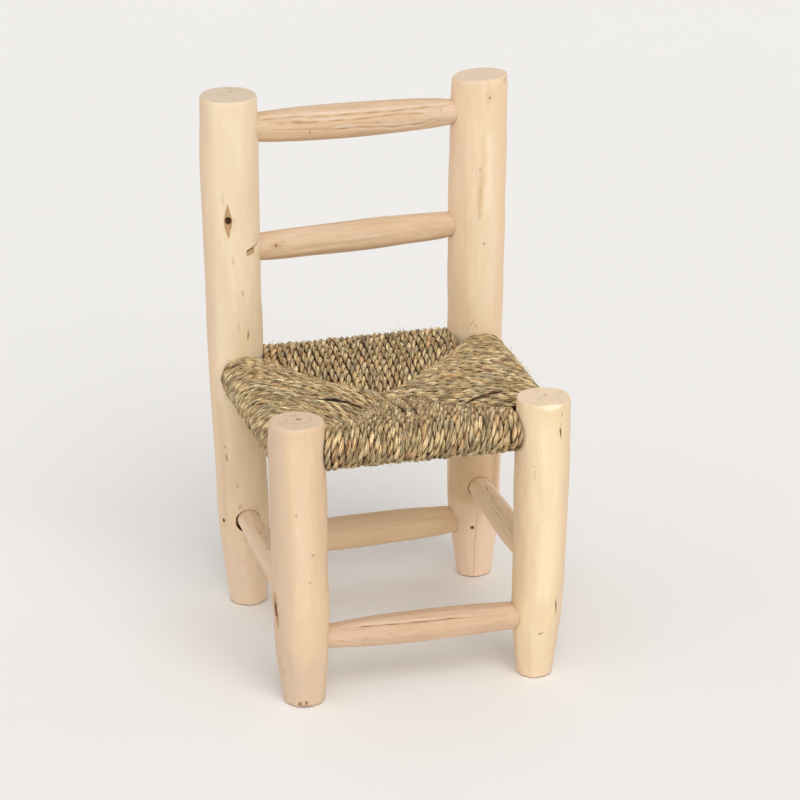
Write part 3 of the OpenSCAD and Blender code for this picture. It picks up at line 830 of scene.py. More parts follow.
def rope_material(name, grass):
    """Twisted grass: each ply changes colour along its length and is streaked with fibres."""
    material, nodes = new_material(name)
    fibre_place = nodes.attribute("fibre", "Vector")
    ply_place = nodes.attribute("ply", "Vector")
    straw, green, brown, tan, brightness = grass
    light = tinted(straw, (1.10, 1.22, 1.50))
    grey = tinted(green, (0.71, 0.675, 0.61))

    # blades of one colour along a ply, and the finer blades and fibres that lie over them
    bead = nodes.noise(ply_place, (0.016, 1.0, 1.0), 1.0, 0.5)
    places, tones = (0.36, 0.42, 0.46, 0.50, 0.55, 0.59, 0.66), (brown, tan, green, straw, grey, light, tan)
    colour = nodes.ramp(bead, list(zip(places, tones)))
    strand = nodes.noise(fibre_place, (0.042, 0.0016, 0.0016), 2.0, 0.5)
    places, tones = (0.36, 0.42, 0.47, 0.52, 0.57, 0.62, 0.70), (brown, grey, tan, straw, green, light, light)
    colour = nodes.blend(0.48, colour, nodes.ramp(strand, list(zip(places, tones))))
    blade = nodes.noise(fibre_place, (0.036, 0.0009, 0.0009), 1.0, 0.5)
    colour = nodes.blend(nodes.level(blade, 0.55, 0.64, 0.0, 0.80), colour, light)
    colour = nodes.blend(nodes.level(blade, 0.43, 0.35, 0.0, 0.85), colour, tinted(brown, 0.6))
    fine = nodes.noise(fibre_place, (0.026, 0.00045, 0.00045), 2.0, 0.55)

    # brightness from fibre to fibre and ply to ply, and painted light: brighter over the rail's outer edge,
    # darker under it
    ply_shade = nodes.noise(ply_place, (0.012, 1.0, 1.0), 0.0)
    ply_shade = nodes.level(ply_shade, 0.36, 0.64, 0.66 * brightness, 1.30 * brightness)
    shade = nodes.times(nodes.level(fine, 0.38, 0.60, 0.48, 1.08), ply_shade)
    shade = nodes.times(shade, nodes.attribute("worn"))
    colour = nodes.move(colour, shade, "SCALE")
    season = nodes.noise(ply_place, (0.11, 1.0, 1.0), 2.0)
    colour = nodes.blend(nodes.level(season, 0.50, 0.64, 0.0, 0.5), colour, RIPE_GRASS, "MULTIPLY")
    colour = nodes.blend(nodes.level(season, 0.50, 0.36, 0.0, 0.6), colour, YOUNG_GRASS, "MULTIPLY")
    broken = nodes.times(nodes.attribute("tint"), nodes.level(strand, 0.42, 0.52, 0.25, 1.0))
    colour = nodes.blend(nodes.level(broken, 0.0, 1.0), colour, RUST_BLADE)
    colour = nodes.blend(nodes.level(broken, 0.0, -1.0), colour, DARK_BLADE)

    # painted shade between the plies and in the gaps between turns
    deep = nodes.blend(1.0, colour, SHADE_BETWEEN_PLIES, "MULTIPLY")
    open_part = nodes.noise(fibre_place, (0.012, 0.004, 0.004), 2.0)
    open_part = nodes.level(open_part, 0.38, 0.58, 0.62, 1.0)
    depth = nodes.times(nodes.level(nodes.attribute("groove"), 0.10, 0.90), open_part)
    slit = nodes.attribute("slit")
    colour = nodes.blend(nodes.calc("MAXIMUM", depth, slit), colour, deep)
    bridged = nodes.level(nodes.noise(fibre_place, (0.010, 0.01, 0.01), 1.0), 0.40, 0.52, 0.2, 1.0)
    colour = nodes.blend(nodes.times(nodes.level(slit, 0.3, 0.9), bridged), colour, SHADE_IN_GAP)

    height = nodes.plus(nodes.times(strand, 1.2), nodes.times(fine, 0.6))
    height = nodes.plus(height, blade)
    nodes.surface({
        "Base Color": colour,
        "Roughness": nodes.level(strand, 0.3, 0.75, 0.66, 0.46),
        "Specular IOR Level": 0.3,
        "Normal": nodes.relief(height, 1.0, 0.0013),
    })
    return material


def plain_fibre_material(name, colours, size):
    """A rough fibrous material without attributes, for hidden rope and loose fibres."""
    material, nodes = new_material(name)
    coord = nodes.place()
    stops = [(0.3 + 0.4 * i / (len(colours) - 1), colour) for i, colour in enumerate(colours)]
    nodes.surface({
        "Base Color": nodes.ramp(nodes.noise(coord, size, 3.0, 0.6), stops),
        "Roughness": 0.8,
        "Normal": nodes.relief(nodes.noise(coord, size / 4), 0.5, 0.0004),
    })
    return material


def nail_material(name):
    """A dark, slightly rusted nail."""
    material, nodes = new_material(name)
    rust = nodes.noise(nodes.place(), 0.0012, 4.0, 0.6)
    nodes.surface({
        "Base Color": nodes.ramp(rust, [(0.35, (0.10, 0.052, 0.032)), (0.65, (0.24, 0.125, 0.07))]),
        "Metallic": 0.25,
        "Roughness": nodes.level(rust, 0.3, 0.7, 0.35, 0.7),
        "Normal": nodes.relief(rust, 0.4, 0.0002),
    })
    return material


# Posts

# Where a post's mesh is finer, along its height and round it: from, to, step
POST_Z_ZONES = {
    "post_back_left": [(420, 459, 0.8), (392, 420, 0.6)],
    "post_back_right": [],
    "post_front_left": [(80, 132, 0.9)],
    "post_front_right": [(288, 298, 0.8)],
}
POST_ANGLE_ZONES = {
    "post_back_left": [(-120, -95, 1.0), (-74, -8, 1.2)],
    "post_back_right": [(-112, -96, 0.8)],
    "post_front_left": [(-180, -155, 1.0)],
    "post_front_right": [(-135, -55, 2.0)],
}
POST_STEP = 2.6  # elsewhere, in millimetres and in degrees
FOOT_ROWS = (0, 0.5, 1.2, 2.2)  # heights of the lowest points
TOP_ROWS = (3.6, 3.0, 2.3, 1.6, 1.0, 0.5, 0.2, 0)  # the highest points, from the top down
TOP_RINGS = (0.94, 0.8, 0.6, 0.4, 0.2, 0.06)  # rings of points on the sawn top, in shares of its radius
SLOPE_DEPTH = 9  # the sawn top's slope dies away over this height

# Middle of the growth rings on each sawn top, from the post's axis
PITHS = {
    "post_back_left": (4.0, 9.0),
    "post_back_right": (6.0, 7.0),
    "post_front_left": (2.5, 2.0),
    "post_front_right": (3.0, 5.0),
}
# Small brown marks: angle, height, half width, half height, slant, strength
FLECKS = {
    "post_back_left": [
        (-117, 459, 0.5, 7, 3, 0.38), (-93.5, 436.5, 0.5, 0.7, 0, 0.5), (-100, 393, 0.7, 5, -5, 0.31),
        (-81.5, 357, 0.8, 3.6, -12, 0.44), (-71, 311, 0.9, 5.5, 4, 0.81), (-92, 321, 0.6, 6, -3, 0.28),
        (-132.4, 174.6, 1.0, 4.0, -6, 0.69), (-135, 186.5, 0.8, 1.0, 0, 0.62),
        (-110.7, 143.2, 1.2, 2.6, -25, 0.31), (-107.7, 119.2, 1.3, 2.8, 20, 0.40),
        (-124.1, 59.2, 0.9, 1.1, 0, 0.35), (61.8, 200, 1.2, 6, 0, 0.62), (150, 330, 1.3, 8, 5, 0.62),
        (95, 455, 0.7, 5, -6, 0.4), (110, 90, 0.9, 3, 12, 0.4), (178, 250, 0.6, 6, 3, 0.35),
    ],
    "post_back_right": [
        (-100.1, 468.1, 0.7, 2.6, 0, 0.42), (-83.7, 543.9, 0.9, 1.3, 0, 0.95), (-82, 546, 4.5, 7, 10, 0.16),
        (-44, 559, 3, 2, 0, 0.35), (-99.0, 419.5, 1.4, 5, 6, 0.25), (-110, 301, 0.5, 4, 25, 0.44),
        (-103, 297, 0.5, 4, -30, 0.44), (-89.3, 387.4, 0.9, 1.7, -40, 0.62), (-97, 445, 0.9, 2.4, 8, 0.25),
        (-98, 457.5, 0.7, 1.2, -8, 0.35), (80, 300, 1.3, 7, 0, 0.62), (30, 460, 1.2, 6, -4, 0.62),
        (60, 140, 0.8, 5, 4, 0.45), (118, 520, 0.6, 4, -8, 0.4), (5, 210, 0.7, 6, 5, 0.4),
    ],
    "post_front_left": [
        (-106.6, 213.6, 0.5, 2.4, 38, 0.60), (-104.9, 212.0, 0.4, 1.3, 5, 0.45),
        (-105.6, 215.4, 0.4, 1.0, -20, 0.40), (-75.6, 171.0, 0.4, 1.8, -50, 0.50),
        (-73.6, 169.2, 0.5, 2.2, 48, 0.60), (-71.3, 168.6, 0.4, 1.6, -45, 0.55),
        (-81.9, 141.1, 1.4, 1.5, 0, 0.35), (-34.0, 248.8, 0.8, 2.6, 0, 0.65),
        (-115.4, 4.6, 1.6, 3.0, 25, 0.75), (-97.2, 5.4, 1.3, 3.2, -10, 0.80), (-106, 2.4, 5, 1.4, 0, 0.5),
        (-86, 2.0, 4, 1.2, 0, 0.4), (-155.7, 38.5, 1.8, 2.4, 0, 0.30), (-85, 293, 0.25, 9, 0, 0.22),
        (100, 180, 1.2, 5, 4, 0.5),
    ],
    "post_front_right": [
        (-66.8, 273.0, 0.9, 5.2, -4, 0.95), (-65.0, 291.0, 0.6, 3.4, 0, 0.5),
        (-67.2, 281.5, 0.4, 1.8, 10, 0.4), (-57.7, 80.5, 0.9, 8.0, -5, 0.95),
        (-95.1, 53.4, 2.2, 1.1, -20, 0.6), (-123.9, 237.5, 0.5, 1.2, 0, 0.55),
        (-121.5, 232.5, 0.45, 2.2, 24, 0.45), (-119.5, 229, 0.5, 1.1, 0, 0.5),
        (-121.0, 225.5, 0.4, 1.8, -20, 0.40), (-112, 176, 0.4, 3.0, 14, 0.30),
        (-110, 168, 0.4, 2.4, -18, 0.28), (70, 150, 1.2, 6, 0, 0.5),
    ],
}
MARK_DEPTH = 3.0  # half size of every mark across the surface


def on_post(name, angle, z):
    """A point on a post's surface, in millimetres."""
    c = post_axis(name, float(z))
    r = float(post_radius(name, float(z)))
    a = math.radians(angle)
    return [c[0] + r * math.cos(a), c[1] + r * math.sin(a), c[2]]


def post_marks(name):
    """The flecks of a post as marks for its material."""
    marks = []
    for angle, z, wide, high, slant, strength in FLECKS[name]:
        half = (wide * 1.8, MARK_DEPTH, high * 1.5)
        marks.append(Mark(on_post(name, angle, z), half, (0, slant, angle + 90), strength))
    return marks


def top_slant(name, points):
    """How far the slope of a post's sawn top lifts points near it."""
    post = POSTS[name]
    off = points[..., :2] - post_axis(name, float(post.height))[:2]
    near_top = np.clip((points[..., 2] - post.height + SLOPE_DEPTH) / SLOPE_DEPTH, 0, 1)
    return near_top * (off[..., 0] * post.slope[0] + off[..., 1] * post.slope[1])


def post_points(name):
    """Rows of points round a post from its foot to its top, then rings to the middle of the sawn top."""
    angles = refined(-180.0, 180.0, POST_STEP, POST_ANGLE_ZONES[name])[:-1]
    top = [POSTS[name].height - v for v in TOP_ROWS]
    middle = refined(FOOT_ROWS[-1] + 2, top[0] - 1.5, POST_STEP, POST_Z_ZONES[name])
    grid_a, grid_z = np.meshgrid(angles, np.concatenate([FOOT_ROWS, middle, top]))
    r = post_shape(name, grid_a, grid_z).r
    c = post_axis(name, grid_z)
    rad = np.radians(grid_a)
    side = c + np.stack([r * np.cos(rad), r * np.sin(rad), 0 * r], -1)
    rings = [side]
    saw = Ripples(60 + sorted(POSTS).index(name), 6, (1, 3), (14, 40))
    for share in TOP_RINGS:
        ring = c[-1] + (side[-1] - c[-1]) * share
        ring[:, 2] += 0.16 * (1 - share) * saw.at(rad[-1], 30 * share)
        rings.append(ring[None])
    points = np.concatenate(rings)
    points[..., 2] += top_slant(name, points)
    return points


def rung_bores(name):
    """Cutters for the mortises of a post's rungs, and for the wider mouths in the back posts."""
    cutters = []
    for rung_name, rung in RUNGS.items():
        ends = [(rung.start, rung.start_z, rung.start_d), (rung.stop, rung.stop_z, rung.stop_d)]
        for (post, z, thick), (other, other_z, _) in (ends, ends[::-1]):
            if post != name:
                continue
            start = post_axis(post, float(z))
            along = unit(post_axis(other, float(other_z)) - start)
            inner, outer = start + along * (RUNG_STOP - BORE_SPARE), start + along * BORE_REACH
            cutters.append(drill("bore", inner, outer, thick / 2 + BORE_PLAY))
            if rung_name in MOUTH_PLAY and post.startswith("post_back"):
                play = MOUTH_PLAY[rung_name]
                across, up = MOUTH_SHIFT[rung_name]
                aside = np.array([across * play, 0, up * play])
                mouth = start + along * (float(post_radius(post, z)) + 1 - MOUTH_DEPTH) + aside
                cutters.append(drill("mouth", mouth, mouth + along * 40, thick / 2 + play))
    return cutters


def seat_bores(name):
    """Cutters for the mortises of a post's seat rails."""
    cutters = []
    for a, b, z in SEAT_RAILS.values():
        for post, other in ((a, b), (b, a)):
            if post == name:
                start = post_axis(post, z)
                along = unit(post_axis(other, z) - start)
                inner, outer = start + along * (SEAT_STOP - BORE_SPARE), start + along * BORE_REACH
                cutters.append(drill("seat_bore", inner, outer, SEAT_TENON_R + SEAT_PLAY))
    return cutters


def build_post(name, material):
    """One peeled branch with its whittled foot, sawn top and mortises."""
    points = post_points(name)
    faces = stick_faces(*points.shape[:2])
    piece = make_piece(name + "_wood", points.reshape(-1, 3), faces, material, name)
    nail_holes = [nail_drill(nail) for nail in NAILS if nail.post == name]
    cut_away(piece, rung_bores(name) + seat_bores(name) + nail_holes)
    finish_post(piece.data, name)


def finish_post(mesh, name):
    """Stores the growth rings, cuts, hollows with their painted shade, and stains of a post for its material;
    some of the stains are painted shade.
    """
    height = POSTS[name].height
    seed = sorted(POSTS).index(name)
    co = points_of(mesh)
    level_z = co[:, 2] - top_slant(name, co)
    off = co - post_axis(name, level_z)
    angle = np.degrees(np.arctan2(off[:, 1], off[:, 0]))
    r = np.hypot(off[:, 0], off[:, 1])
    z = np.clip(level_z, 0, height)
    skin = post_shape(name, angle, z)
    is_end = (level_z > height - 0.6) & (r < skin.r + 0.35)
    inside = (r < skin.r - 3.5) & ~is_end
    hidden = inside | is_end
    drift = Ripples(50 + seed, 8, (1, 3), (110, 380)).at(np.radians(angle), z)
    from_tip = co - post_axis(name, float(height))
    from_pith = np.hypot(from_tip[:, 0] - PITHS[name][0], from_tip[:, 1] - PITHS[name][1])
    # painted shade inside the mortises and nail holes, wherever the mesh lies below the post's skin
    dark = 0.95 * smooth(0.5, 1.8, skin.r - r) * (level_z > 1)
    give(
        mesh,
        ring=np.where(is_end, from_pith, r + drift * np.clip(r / 25, 0, 1)),
        cut=np.where(inside, 2.0, skin.cut),
        hollow=np.where(is_end, 0, np.maximum(skin.hollow, dark)),
        stain=np.where(hidden, 0, skin.stain),
        tone=np.where(hidden, 0, skin.tone),
        end_grain=is_end.astype(float),
    )
    mesh.shade_smooth()
    mesh.set_sharp_from_angle(angle=math.radians(48))


# Rungs

# Knife strokes along a rung: places as distance, direction (0 = up, 90 = out to the front or left), then
# width, depth, strength of the painted shade along its middle, and brown stain
STROKES = {
    "back_rail_upper": [
        (((24, 42), (61, 45), (91, 50), (133, 54), (175, 53), (231, 43)), 1.3, 0.9, 0.24, 0.75),
        (((70, 49), (91, 53), (133, 57), (176, 56)), 2.2, 0.3, 0.0, 0.50),
        (((58, 66), (85, 73), (103, 73), (132, 73), (171, 67), (206, 72)), 1.0, 1.0, 0.34, 0.75),
        (((55, 64), (64, 66), (86, 70), (95, 71)), 2.2, 0.3, 0.14, 1.0),
        (((101, 105), (132, 102), (171, 113), (198, 112), (219, 92)), 1.4, 0.9, 0.30, 0.70),
        (((34, 89), (70, 93), (104, 105)), 1.3, 0.6, 0.0, 0.30),
        (((208, 114), (217, 109), (220, 90)), 1.2, 0.8, 0.3, 0.8),
        (((22, 112), (70, 114), (130, 124), (232, 122)), 6.5, 0.1, 0.0, 0.30),
        (((60, 20), (190, 12)), 1.6, 0.4, 0.0, 0.2), (((50, -60), (170, -50)), 1.8, 0.5, 0.1, 0.3),
        (((60, 180), (200, 170)), 1.8, 0.5, 0.1, 0.3),
    ],
    "back_rail_lower": [
        (((54, 44), (69, 44), (86, 41)), 0.9, 0.4, 0.06, 0.40),
        (((110, 46), (122, 45), (150, 40)), 0.9, 0.4, 0.12, 0.40),
        (((52, 104), (68, 100), (120, 97), (195, 88)), 2.2, 0.5, 0.0, 0.30),
        (((50, 116), (68, 112), (120, 110), (200, 103)), 5.0, 0.1, 0.0, 0.34),
        (((70, -70), (190, -64)), 1.6, 0.5, 0.1, 0.3), (((60, 160), (190, 150)), 1.6, 0.4, 0.1, 0.3),
    ],
    "stretcher_front": [
        (((50, 39), (62, 40), (77, 42), (98, 46), (126, 49)), 0.9, 1.1, 0.75, 0.5),
        (((112, 49), (132, 50), (147, 49), (170, 49)), 0.9, 1.0, 0.80, 0.5),
        (((160, 50), (182, 51)), 0.6, 0.3, 0.2, 0.4), (((37, 37), (45, 39)), 0.9, 0.4, 0.3, 0.6),
        (((111, 93), (120, 94)), 0.6, 0.4, 0.45, 0.4),
        (((24, 84), (40, 98), (60, 124), (98, 141), (160, 140)), 1.1, 0.8, 0.24, 0.6),
        (((70, 24), (170, 26)), 1.5, 0.35, 0.0, 0.2), (((60, -80), (160, -70)), 1.6, 0.5, 0.1, 0.3),
        (((130, 70), (195, 66)), 1.4, 0.4, 0.06, 0.35),
    ],
    "stretcher_back": [
        (((60, 10), (120, 16)), 1.6, 0.4, 0.0, 0.15), (((100, 104), (215, 96)), 4.0, 0.2, 0.0, 0.22),
        (((60, -80), (190, -74)), 1.6, 0.5, 0.2, 0.3),
    ],
    "stretcher_left": [
        (((132, -3), (160, -7), (192, -14)), 0.7, 0.5, 0.22, 0.35),
        (((50, 40), (170, 34)), 1.5, 0.4, 0.0, 0.2), (((70, 100), (190, 92)), 1.6, 0.45, 0.1, 0.3),
    ],
    "stretcher_right": [
        (((174, -14), (194, -10)), 0.9, 0.8, 0.8, 0.5),
        (((104, -24), (137, -27), (160, -20), (178, -14)), 0.7, 0.5, 0.30, 0.6),
        (((94, -23), (107, -24)), 0.7, 0.5, 0.40, 0.4), (((60, -38), (90, -34)), 0.8, 0.5, 0.30, 0.4),
        (((60, 60), (190, 52)), 1.6, 0.45, 0.1, 0.3),
    ],
}
# Small marks on the rungs: distance, direction, half length along, half width across, strength
KNOTS = {
    "back_rail_upper": [
        (61, 46, 0.35, 5.0, 0.28), (80, 105, 0.7, 1.9, 0.6), (51, 66, 2.2, 1.0, 0.30),
        (47, 58, 1.2, 1.2, 0.25), (218.3, 64, 0.35, 3.6, 0.5), (150, 88, 1.0, 0.8, 0.35),
    ],
    "back_rail_lower": [
        (43.5, 73, 1.7, 1.4, 0.80), (44, 74, 5.5, 3.4, 0.30), (50, 62, 4.0, 1.4, 0.2),
        (128, 62, 1.0, 0.5, 0.4),
    ],
    "stretcher_front": [
        (59, 98, 0.5, 2.0, 0.5), (63, 91, 2.6, 0.45, 0.40), (67, 99, 0.5, 1.6, 0.45),
        (86, 82, 2.2, 0.8, 0.22), (96.5, 99, 0.8, 0.8, 0.22), (206.5, 61, 0.35, 3.6, 0.35),
    ],
    "stretcher_back": [(185.5, 5, 1.0, 0.9, 0.5)],
    "stretcher_left": [(160.5, -7, 1.0, 0.9, 0.6), (124, -15, 0.9, 1.1, 0.5), (150, 10, 3.0, 0.5, 0.3)],
    "stretcher_right": [(120, -40, 1.2, 0.6, 0.4)],
}
KNIFE_FACETS = 10  # along a rung
TIP_FACETS = 7  # round each end of a rung
TENON_PLAY = 0.05  # how much a tenon's radius is under its rung's end
RUNG_STEPS = (2.2, 4.0, 1.5)  # of the mesh: along in millimetres, round in degrees, round at the strokes


def rung_frame(name):
    """Start, direction, up and side of a rung, and its length between the posts' axes."""
    rung = RUNGS[name]
    start, stop = post_axis(rung.start, float(rung.start_z)), post_axis(rung.stop, float(rung.stop_z))
    along = unit(stop - start)
    side = unit(np.cross(along, [0, 0, 1]))
    return start, along, np.cross(side, along), side, np.linalg.norm(stop - start)


def knife_facets(skin, rng):
    """Cuts the long, slightly winding facets of the knife along a rung."""
    s = skin.place
    for k in range(KNIFE_FACETS):
        direction = 360 * (k + rng.uniform(-0.25, 0.25)) / KNIFE_FACETS
        swing, phase, wave = rng.uniform(3, 9), rng.uniform(0, 6.28), rng.uniform(90, 200)
        depth, ripple = rng.uniform(0.955, 0.985), rng.uniform(0.004, 0.012)
        heading = direction + swing * np.sin(2 * np.pi * s / wave + phase)
        distance = skin.mean * (depth + ripple * np.sin(2 * np.pi * s / (wave * 0.45) + phase * 2))
        skin.r = facet(skin.r, skin.angle, heading, distance)


def tip_facets(skin, end, way, tip, rng):
    """Cuts the short facets that taper a rung's end to the radius of its tenon."""
    for k in range(TIP_FACETS):
        direction = 360 * (k + rng.uniform(-0.3, 0.3)) / TIP_FACETS
        reach = rng.uniform(14, 34)
        near = (skin.place - end) * way
        skin.r = facet(skin.r, skin.angle, direction, tip * 0.985 + np.maximum(0, near) / reach * 2.6)


def knife_stroke(skin, places, wide, deep, dark, brown):
    """Cuts one winding stroke, with painted shade along its middle and a painted highlight on the ridge
    beside it.
    """
    s = skin.place
    at, heading = zip(*places)
    fade = min(10, 0.3 * (at[-1] - at[0]))
    bend = 0.7 * np.sin(s / 11 + at[0]) + 0.4 * np.sin(s / 3.7)
    across = skin.across(np.interp(s, at, heading) + bend)
    run = smooth(at[0], at[0] + fade, s) * smooth(at[-1], at[-1] - fade, s)
    line = run * np.exp(-(across / wide) ** 2)
    uneven = 0.75 + 0.25 * np.sin(s / 4.3 + at[0])
    ridge = np.exp(-((across + 1.3 * wide + 0.8) / (0.8 * wide + 0.5)) ** 2)
    skin.r = skin.r - deep * line
    skin.cut = skin.cut + 0.5 * line
    # painted shade along the stroke's middle
    skin.darken(dark * uneven * run * np.exp(-(across / (wide * 0.5)) ** 2))
    skin.brown(brown * uneven * line)
    # painted highlight on the ridge beside the stroke
    skin.tone = skin.tone - 1.1 * deep * brown * run * ridge


def rung_shape(name, s, angle):
    """The surface of a rung at distances s from its start and angles (degrees) from up towards its side."""
    rung = RUNGS[name]
    seed = sorted(RUNGS).index(name)
    rng = np.random.default_rng(70 + seed)
    length = rung_frame(name)[4]
    lo = float(post_radius(rung.start, rung.start_z)) + 1
    hi = length - float(post_radius(rung.stop, rung.stop_z)) - 1
    t = np.clip((s - lo) / (hi - lo), 0, 1)
    end = np.where(t < 0.5, rung.start_d, rung.stop_d)
    barrel = (rung.middle_d + (end * 1.04 - rung.middle_d) * np.abs(2 * t - 1) ** 2.3) / 2
    rad = np.radians(angle)
    skin = Skin(angle, s, barrel)
    skin.r = barrel * (1 + 0.016 * np.cos(2 * rad + 0.7) + 0.010 * np.cos(3 * rad))
    skin.r = skin.r + 0.22 * Ripples(80 + seed, 8, (1, 4), (60, 200)).at(rad, s)
    knife_facets(skin, rng)
    tip_facets(skin, lo, 1, rung.start_d / 2, rng)
    tip_facets(skin, hi, -1, rung.stop_d / 2, rng)
    skin.cut = np.maximum(0, barrel - skin.r)
    for stroke in STROKES[name]:
        knife_stroke(skin, *stroke)
    tenon = np.where(s < length / 2, rung.start_d / 2 - TENON_PLAY, rung.stop_d / 2 - TENON_PLAY)
    outside = smooth(lo - 3.5, lo + 2.5, s) * smooth(hi + 3.5, hi - 2.5, s)
    skin.r = tenon + (skin.r - tenon) * outside
    return skin


def rung_marks(name):
    """The small marks of a rung for its material."""
    start, along, up, side, _ = rung_frame(name)
    marks = []
    for s, direction, half_along, half_across, strength in KNOTS[name]:
        rad = math.radians(direction)
        r = float(rung_shape(name, np.array([float(s)]), np.array([float(direction)])).r[0])
        place = list(start + s * along + r * (math.cos(rad) * up + math.sin(rad) * side))
        if abs(along[0]) > 0.5:
            half, turn = (half_along * 1.8, MARK_DEPTH, half_across * 1.8), (90 + direction, 0, 0)
        else:
            half, turn = (MARK_DEPTH, half_along * 1.8, half_across * 1.8), (0, direction - 90, 0)
        marks.append(Mark(place, half, turn, strength))
    return marks


def nailed(name, nail):
    """Whether the nail goes through this rung's tenon."""
    rung = RUNGS[name]
    heights = {rung.start: rung.start_z, rung.stop: rung.stop_z}
    if nail.post not in heights or abs(nail.z - heights[nail.post]) > NAIL_NEAR:
        return False
    return abs(np.array(nail.way, float) @ rung_frame(name)[1]) < 0.5


def build_rung(name, material):
    """One whittled rung with its tenons, knife strokes and nail hole."""
    start, along, up, side, length = rung_frame(name)
    along_step, round_step, stroke_step = RUNG_STEPS
    zones = []
    for places, _, _, dark, brown in STROKES[name]:
        headings = [heading for _, heading in places]
        if max(dark, brown) > 0.3:
            zones.append((min(headings) - 5, max(headings) + 5, stroke_step))
    angles = refined(-180.0, 180.0, round_step, zones)[:-1]
    s = refined(RUNG_STOP + 0.4, length - RUNG_STOP - 0.4, along_step, [])
    grid_a, grid_s = np.meshgrid(angles, s)
    r = rung_shape(name, grid_s, grid_a).r[..., None]
    rad = np.radians(grid_a)[..., None]
    points = start + grid_s[..., None] * along + r * (np.cos(rad) * up + np.sin(rad) * side)
    # angles grow from up towards the side, which runs clockwise round the direction
    faces = [f[::-1] for f in stick_faces(len(s), len(angles))]
    piece = make_piece(name + "_wood", points.reshape(-1, 3), faces, material, name)
    nail_holes = [nail_drill(nail) for nail in NAILS if nailed(name, nail)]
    if nail_holes:
        cut_away(piece, nail_holes)
    finish_rung(piece.data, name)


def finish_rung(mesh, name):
    """Stores the growth rings, cuts, hollows with their painted shade, and stains of a rung for its material.
    """
    start, along, up, side, _ = rung_frame(name)
    seed = sorted(RUNGS).index(name)
    co = points_of(mesh) - start
    place = co @ along
    off = co - place[:, None] * along
    angle = np.degrees(np.arctan2(off @ side, off @ up))
    rad = np.radians(angle)
    skin = rung_shape(name, place, angle)
    drift = Ripples(90 + seed, 7, (1, 2), (60, 260)).at(rad, place)
    radius = np.linalg.norm(off, axis=1)
    off_centre = 5.5 * np.cos(rad - 1.0 - seed)
    give(
        mesh,
        ring=radius + off_centre + 1.1 * drift,
        cut=skin.cut,
        hollow=skin.hollow,
        stain=skin.stain,
        tone=skin.tone,
        end_grain=0 * radius,
    )
    mesh.shade_smooth()
    mesh.set_sharp_from_angle(angle=math.radians(50))


# Rope seat

# A post where the rope passes it: its middle in plan and its radius
SEAT_POSTS = {
    "BL": (-129.6, 121.0, 28.0),
    "BR": (129.0, 121.0, 29.2),
    "FL": (-120.8, -119.8, 28.2),
    "FR": (128.4, -124.0, 27.4),
}
# A rail under the rope: from post, to post, height at each, radius of the rope's centre round the rail
ROPE_RAILS = {
    "front": ("FL", "FR", 269.0, 269.0, 18.0),
    "right": ("FR", "BR", 267.5, 264.5, 20.6),
    "back": ("BR", "BL", 265.5, 265.5, 18.0),
    "left": ("BL", "FL", 265.0, 265.0, 20.6),
}
SIDE_RAILS = ("left", "right")
# The seam of each corner, from the corner to the middle: points in plan and the height of the seat there
SEAMS = {
    "BL": [
        (-110, 84, 285), (-88, 66, 281), (-74, 47, 278), (-53, 33, 275), (-35, 16, 273), (-8, 4, 271.5),
        (2, 0, 271),
    ],
    "BR": [
        (106, 80, 286), (95, 68, 283), (70.5, 52, 278), (45.5, 32, 274), (21, 12.7, 272), (7.6, 5.3, 271),
        (2.6, 1, 271),
    ],
    "FL": [
        (-97, -94, 284), (-75, -80, 281), (-58.5, -67.6, 277), (-44.5, -50.6, 275), (-30, -33, 273.5),
        (-16, -18, 272), (-3, -8, 271), (2.5, -2, 271),
    ],
    "FR": [(104, -92, 284), (80, -69, 279), (60, -47, 276), (31, -18, 273), (15, -5, 271.5), (3, -2, 271)],
}
TURNS = {"BL": 14, "BR": 15, "FL": 16, "FR": 17}  # turns of rope between a corner and the rail's middle
POST_ROOM = 3.1  # from a post's surface to the centre of its nearest turn
ROPE_SUNK = 3.2  # from the seat's surface down to the rope's centre
CROSS_DIP = 4.6  # how far the front and back turns run below the side turns at a seam
UNDERSIDE = 251.4  # height of the rope's centre under the seat
UNDER_CROSS = 4.0  # how far the front and back turns run above the side turns there
RING_GAP = 1.3  # between the rings of points along a rope
PLY_ANGLES = (-90, -76, -58, -30, 0, 30, 58, 76)  # points round one ply of the rope, from its middle
UP = np.array([0, 0, 1.0])
# How a turn goes down at its seam: distance past the seam, change of height
SIDE_DIVE = ((2.6, -0.6), (5.0, -4.0), (6.2, -9.5))
CROSS_DIVE = ((3.5, -0.4), (6.5, -3.0), (8.5, -8.0))
UNDER_DIVE = ((3.0, 0.6), (5.5, 4.0))
SPREAD_NEAR = 14  # turns this near to a post spread apart as they go round the rail
SPREAD = 2.6  # by how much at most

# How the rope runs over a rail: its first and last turn, its direction, its outward side, its radius
Run = namedtuple("Run", "first last along out radius")


def rail_run(rail):
    """How the rope runs over a rail."""
    a, b, a_z, b_z, radius = ROPE_RAILS[rail]
    start = np.array([*SEAT_POSTS[a][:2], a_z])
    stop = np.array([*SEAT_POSTS[b][:2], b_z])
    along = unit(stop - start)
    out = unit(np.array([along[1], -along[0], 0]))
    first = start + along * (SEAT_POSTS[a][2] + POST_ROOM)
    last = stop - along * (SEAT_POSTS[b][2] + POST_ROOM)
    return Run(first, last, along, out, radius)


def rail_turns(rail):
    """Each turn of rope over a rail: its corner, its number from that corner, its point on the rail."""
    a, b = ROPE_RAILS[rail][:2]
    run = rail_run(rail)
    count = TURNS[a] + TURNS[b]
    for i in range(count):
        corner, number = (a, i) if i < TURNS[a] else (b, count - 1 - i)
        yield corner, number, run.first + (run.last - run.first) * i / (count - 1)


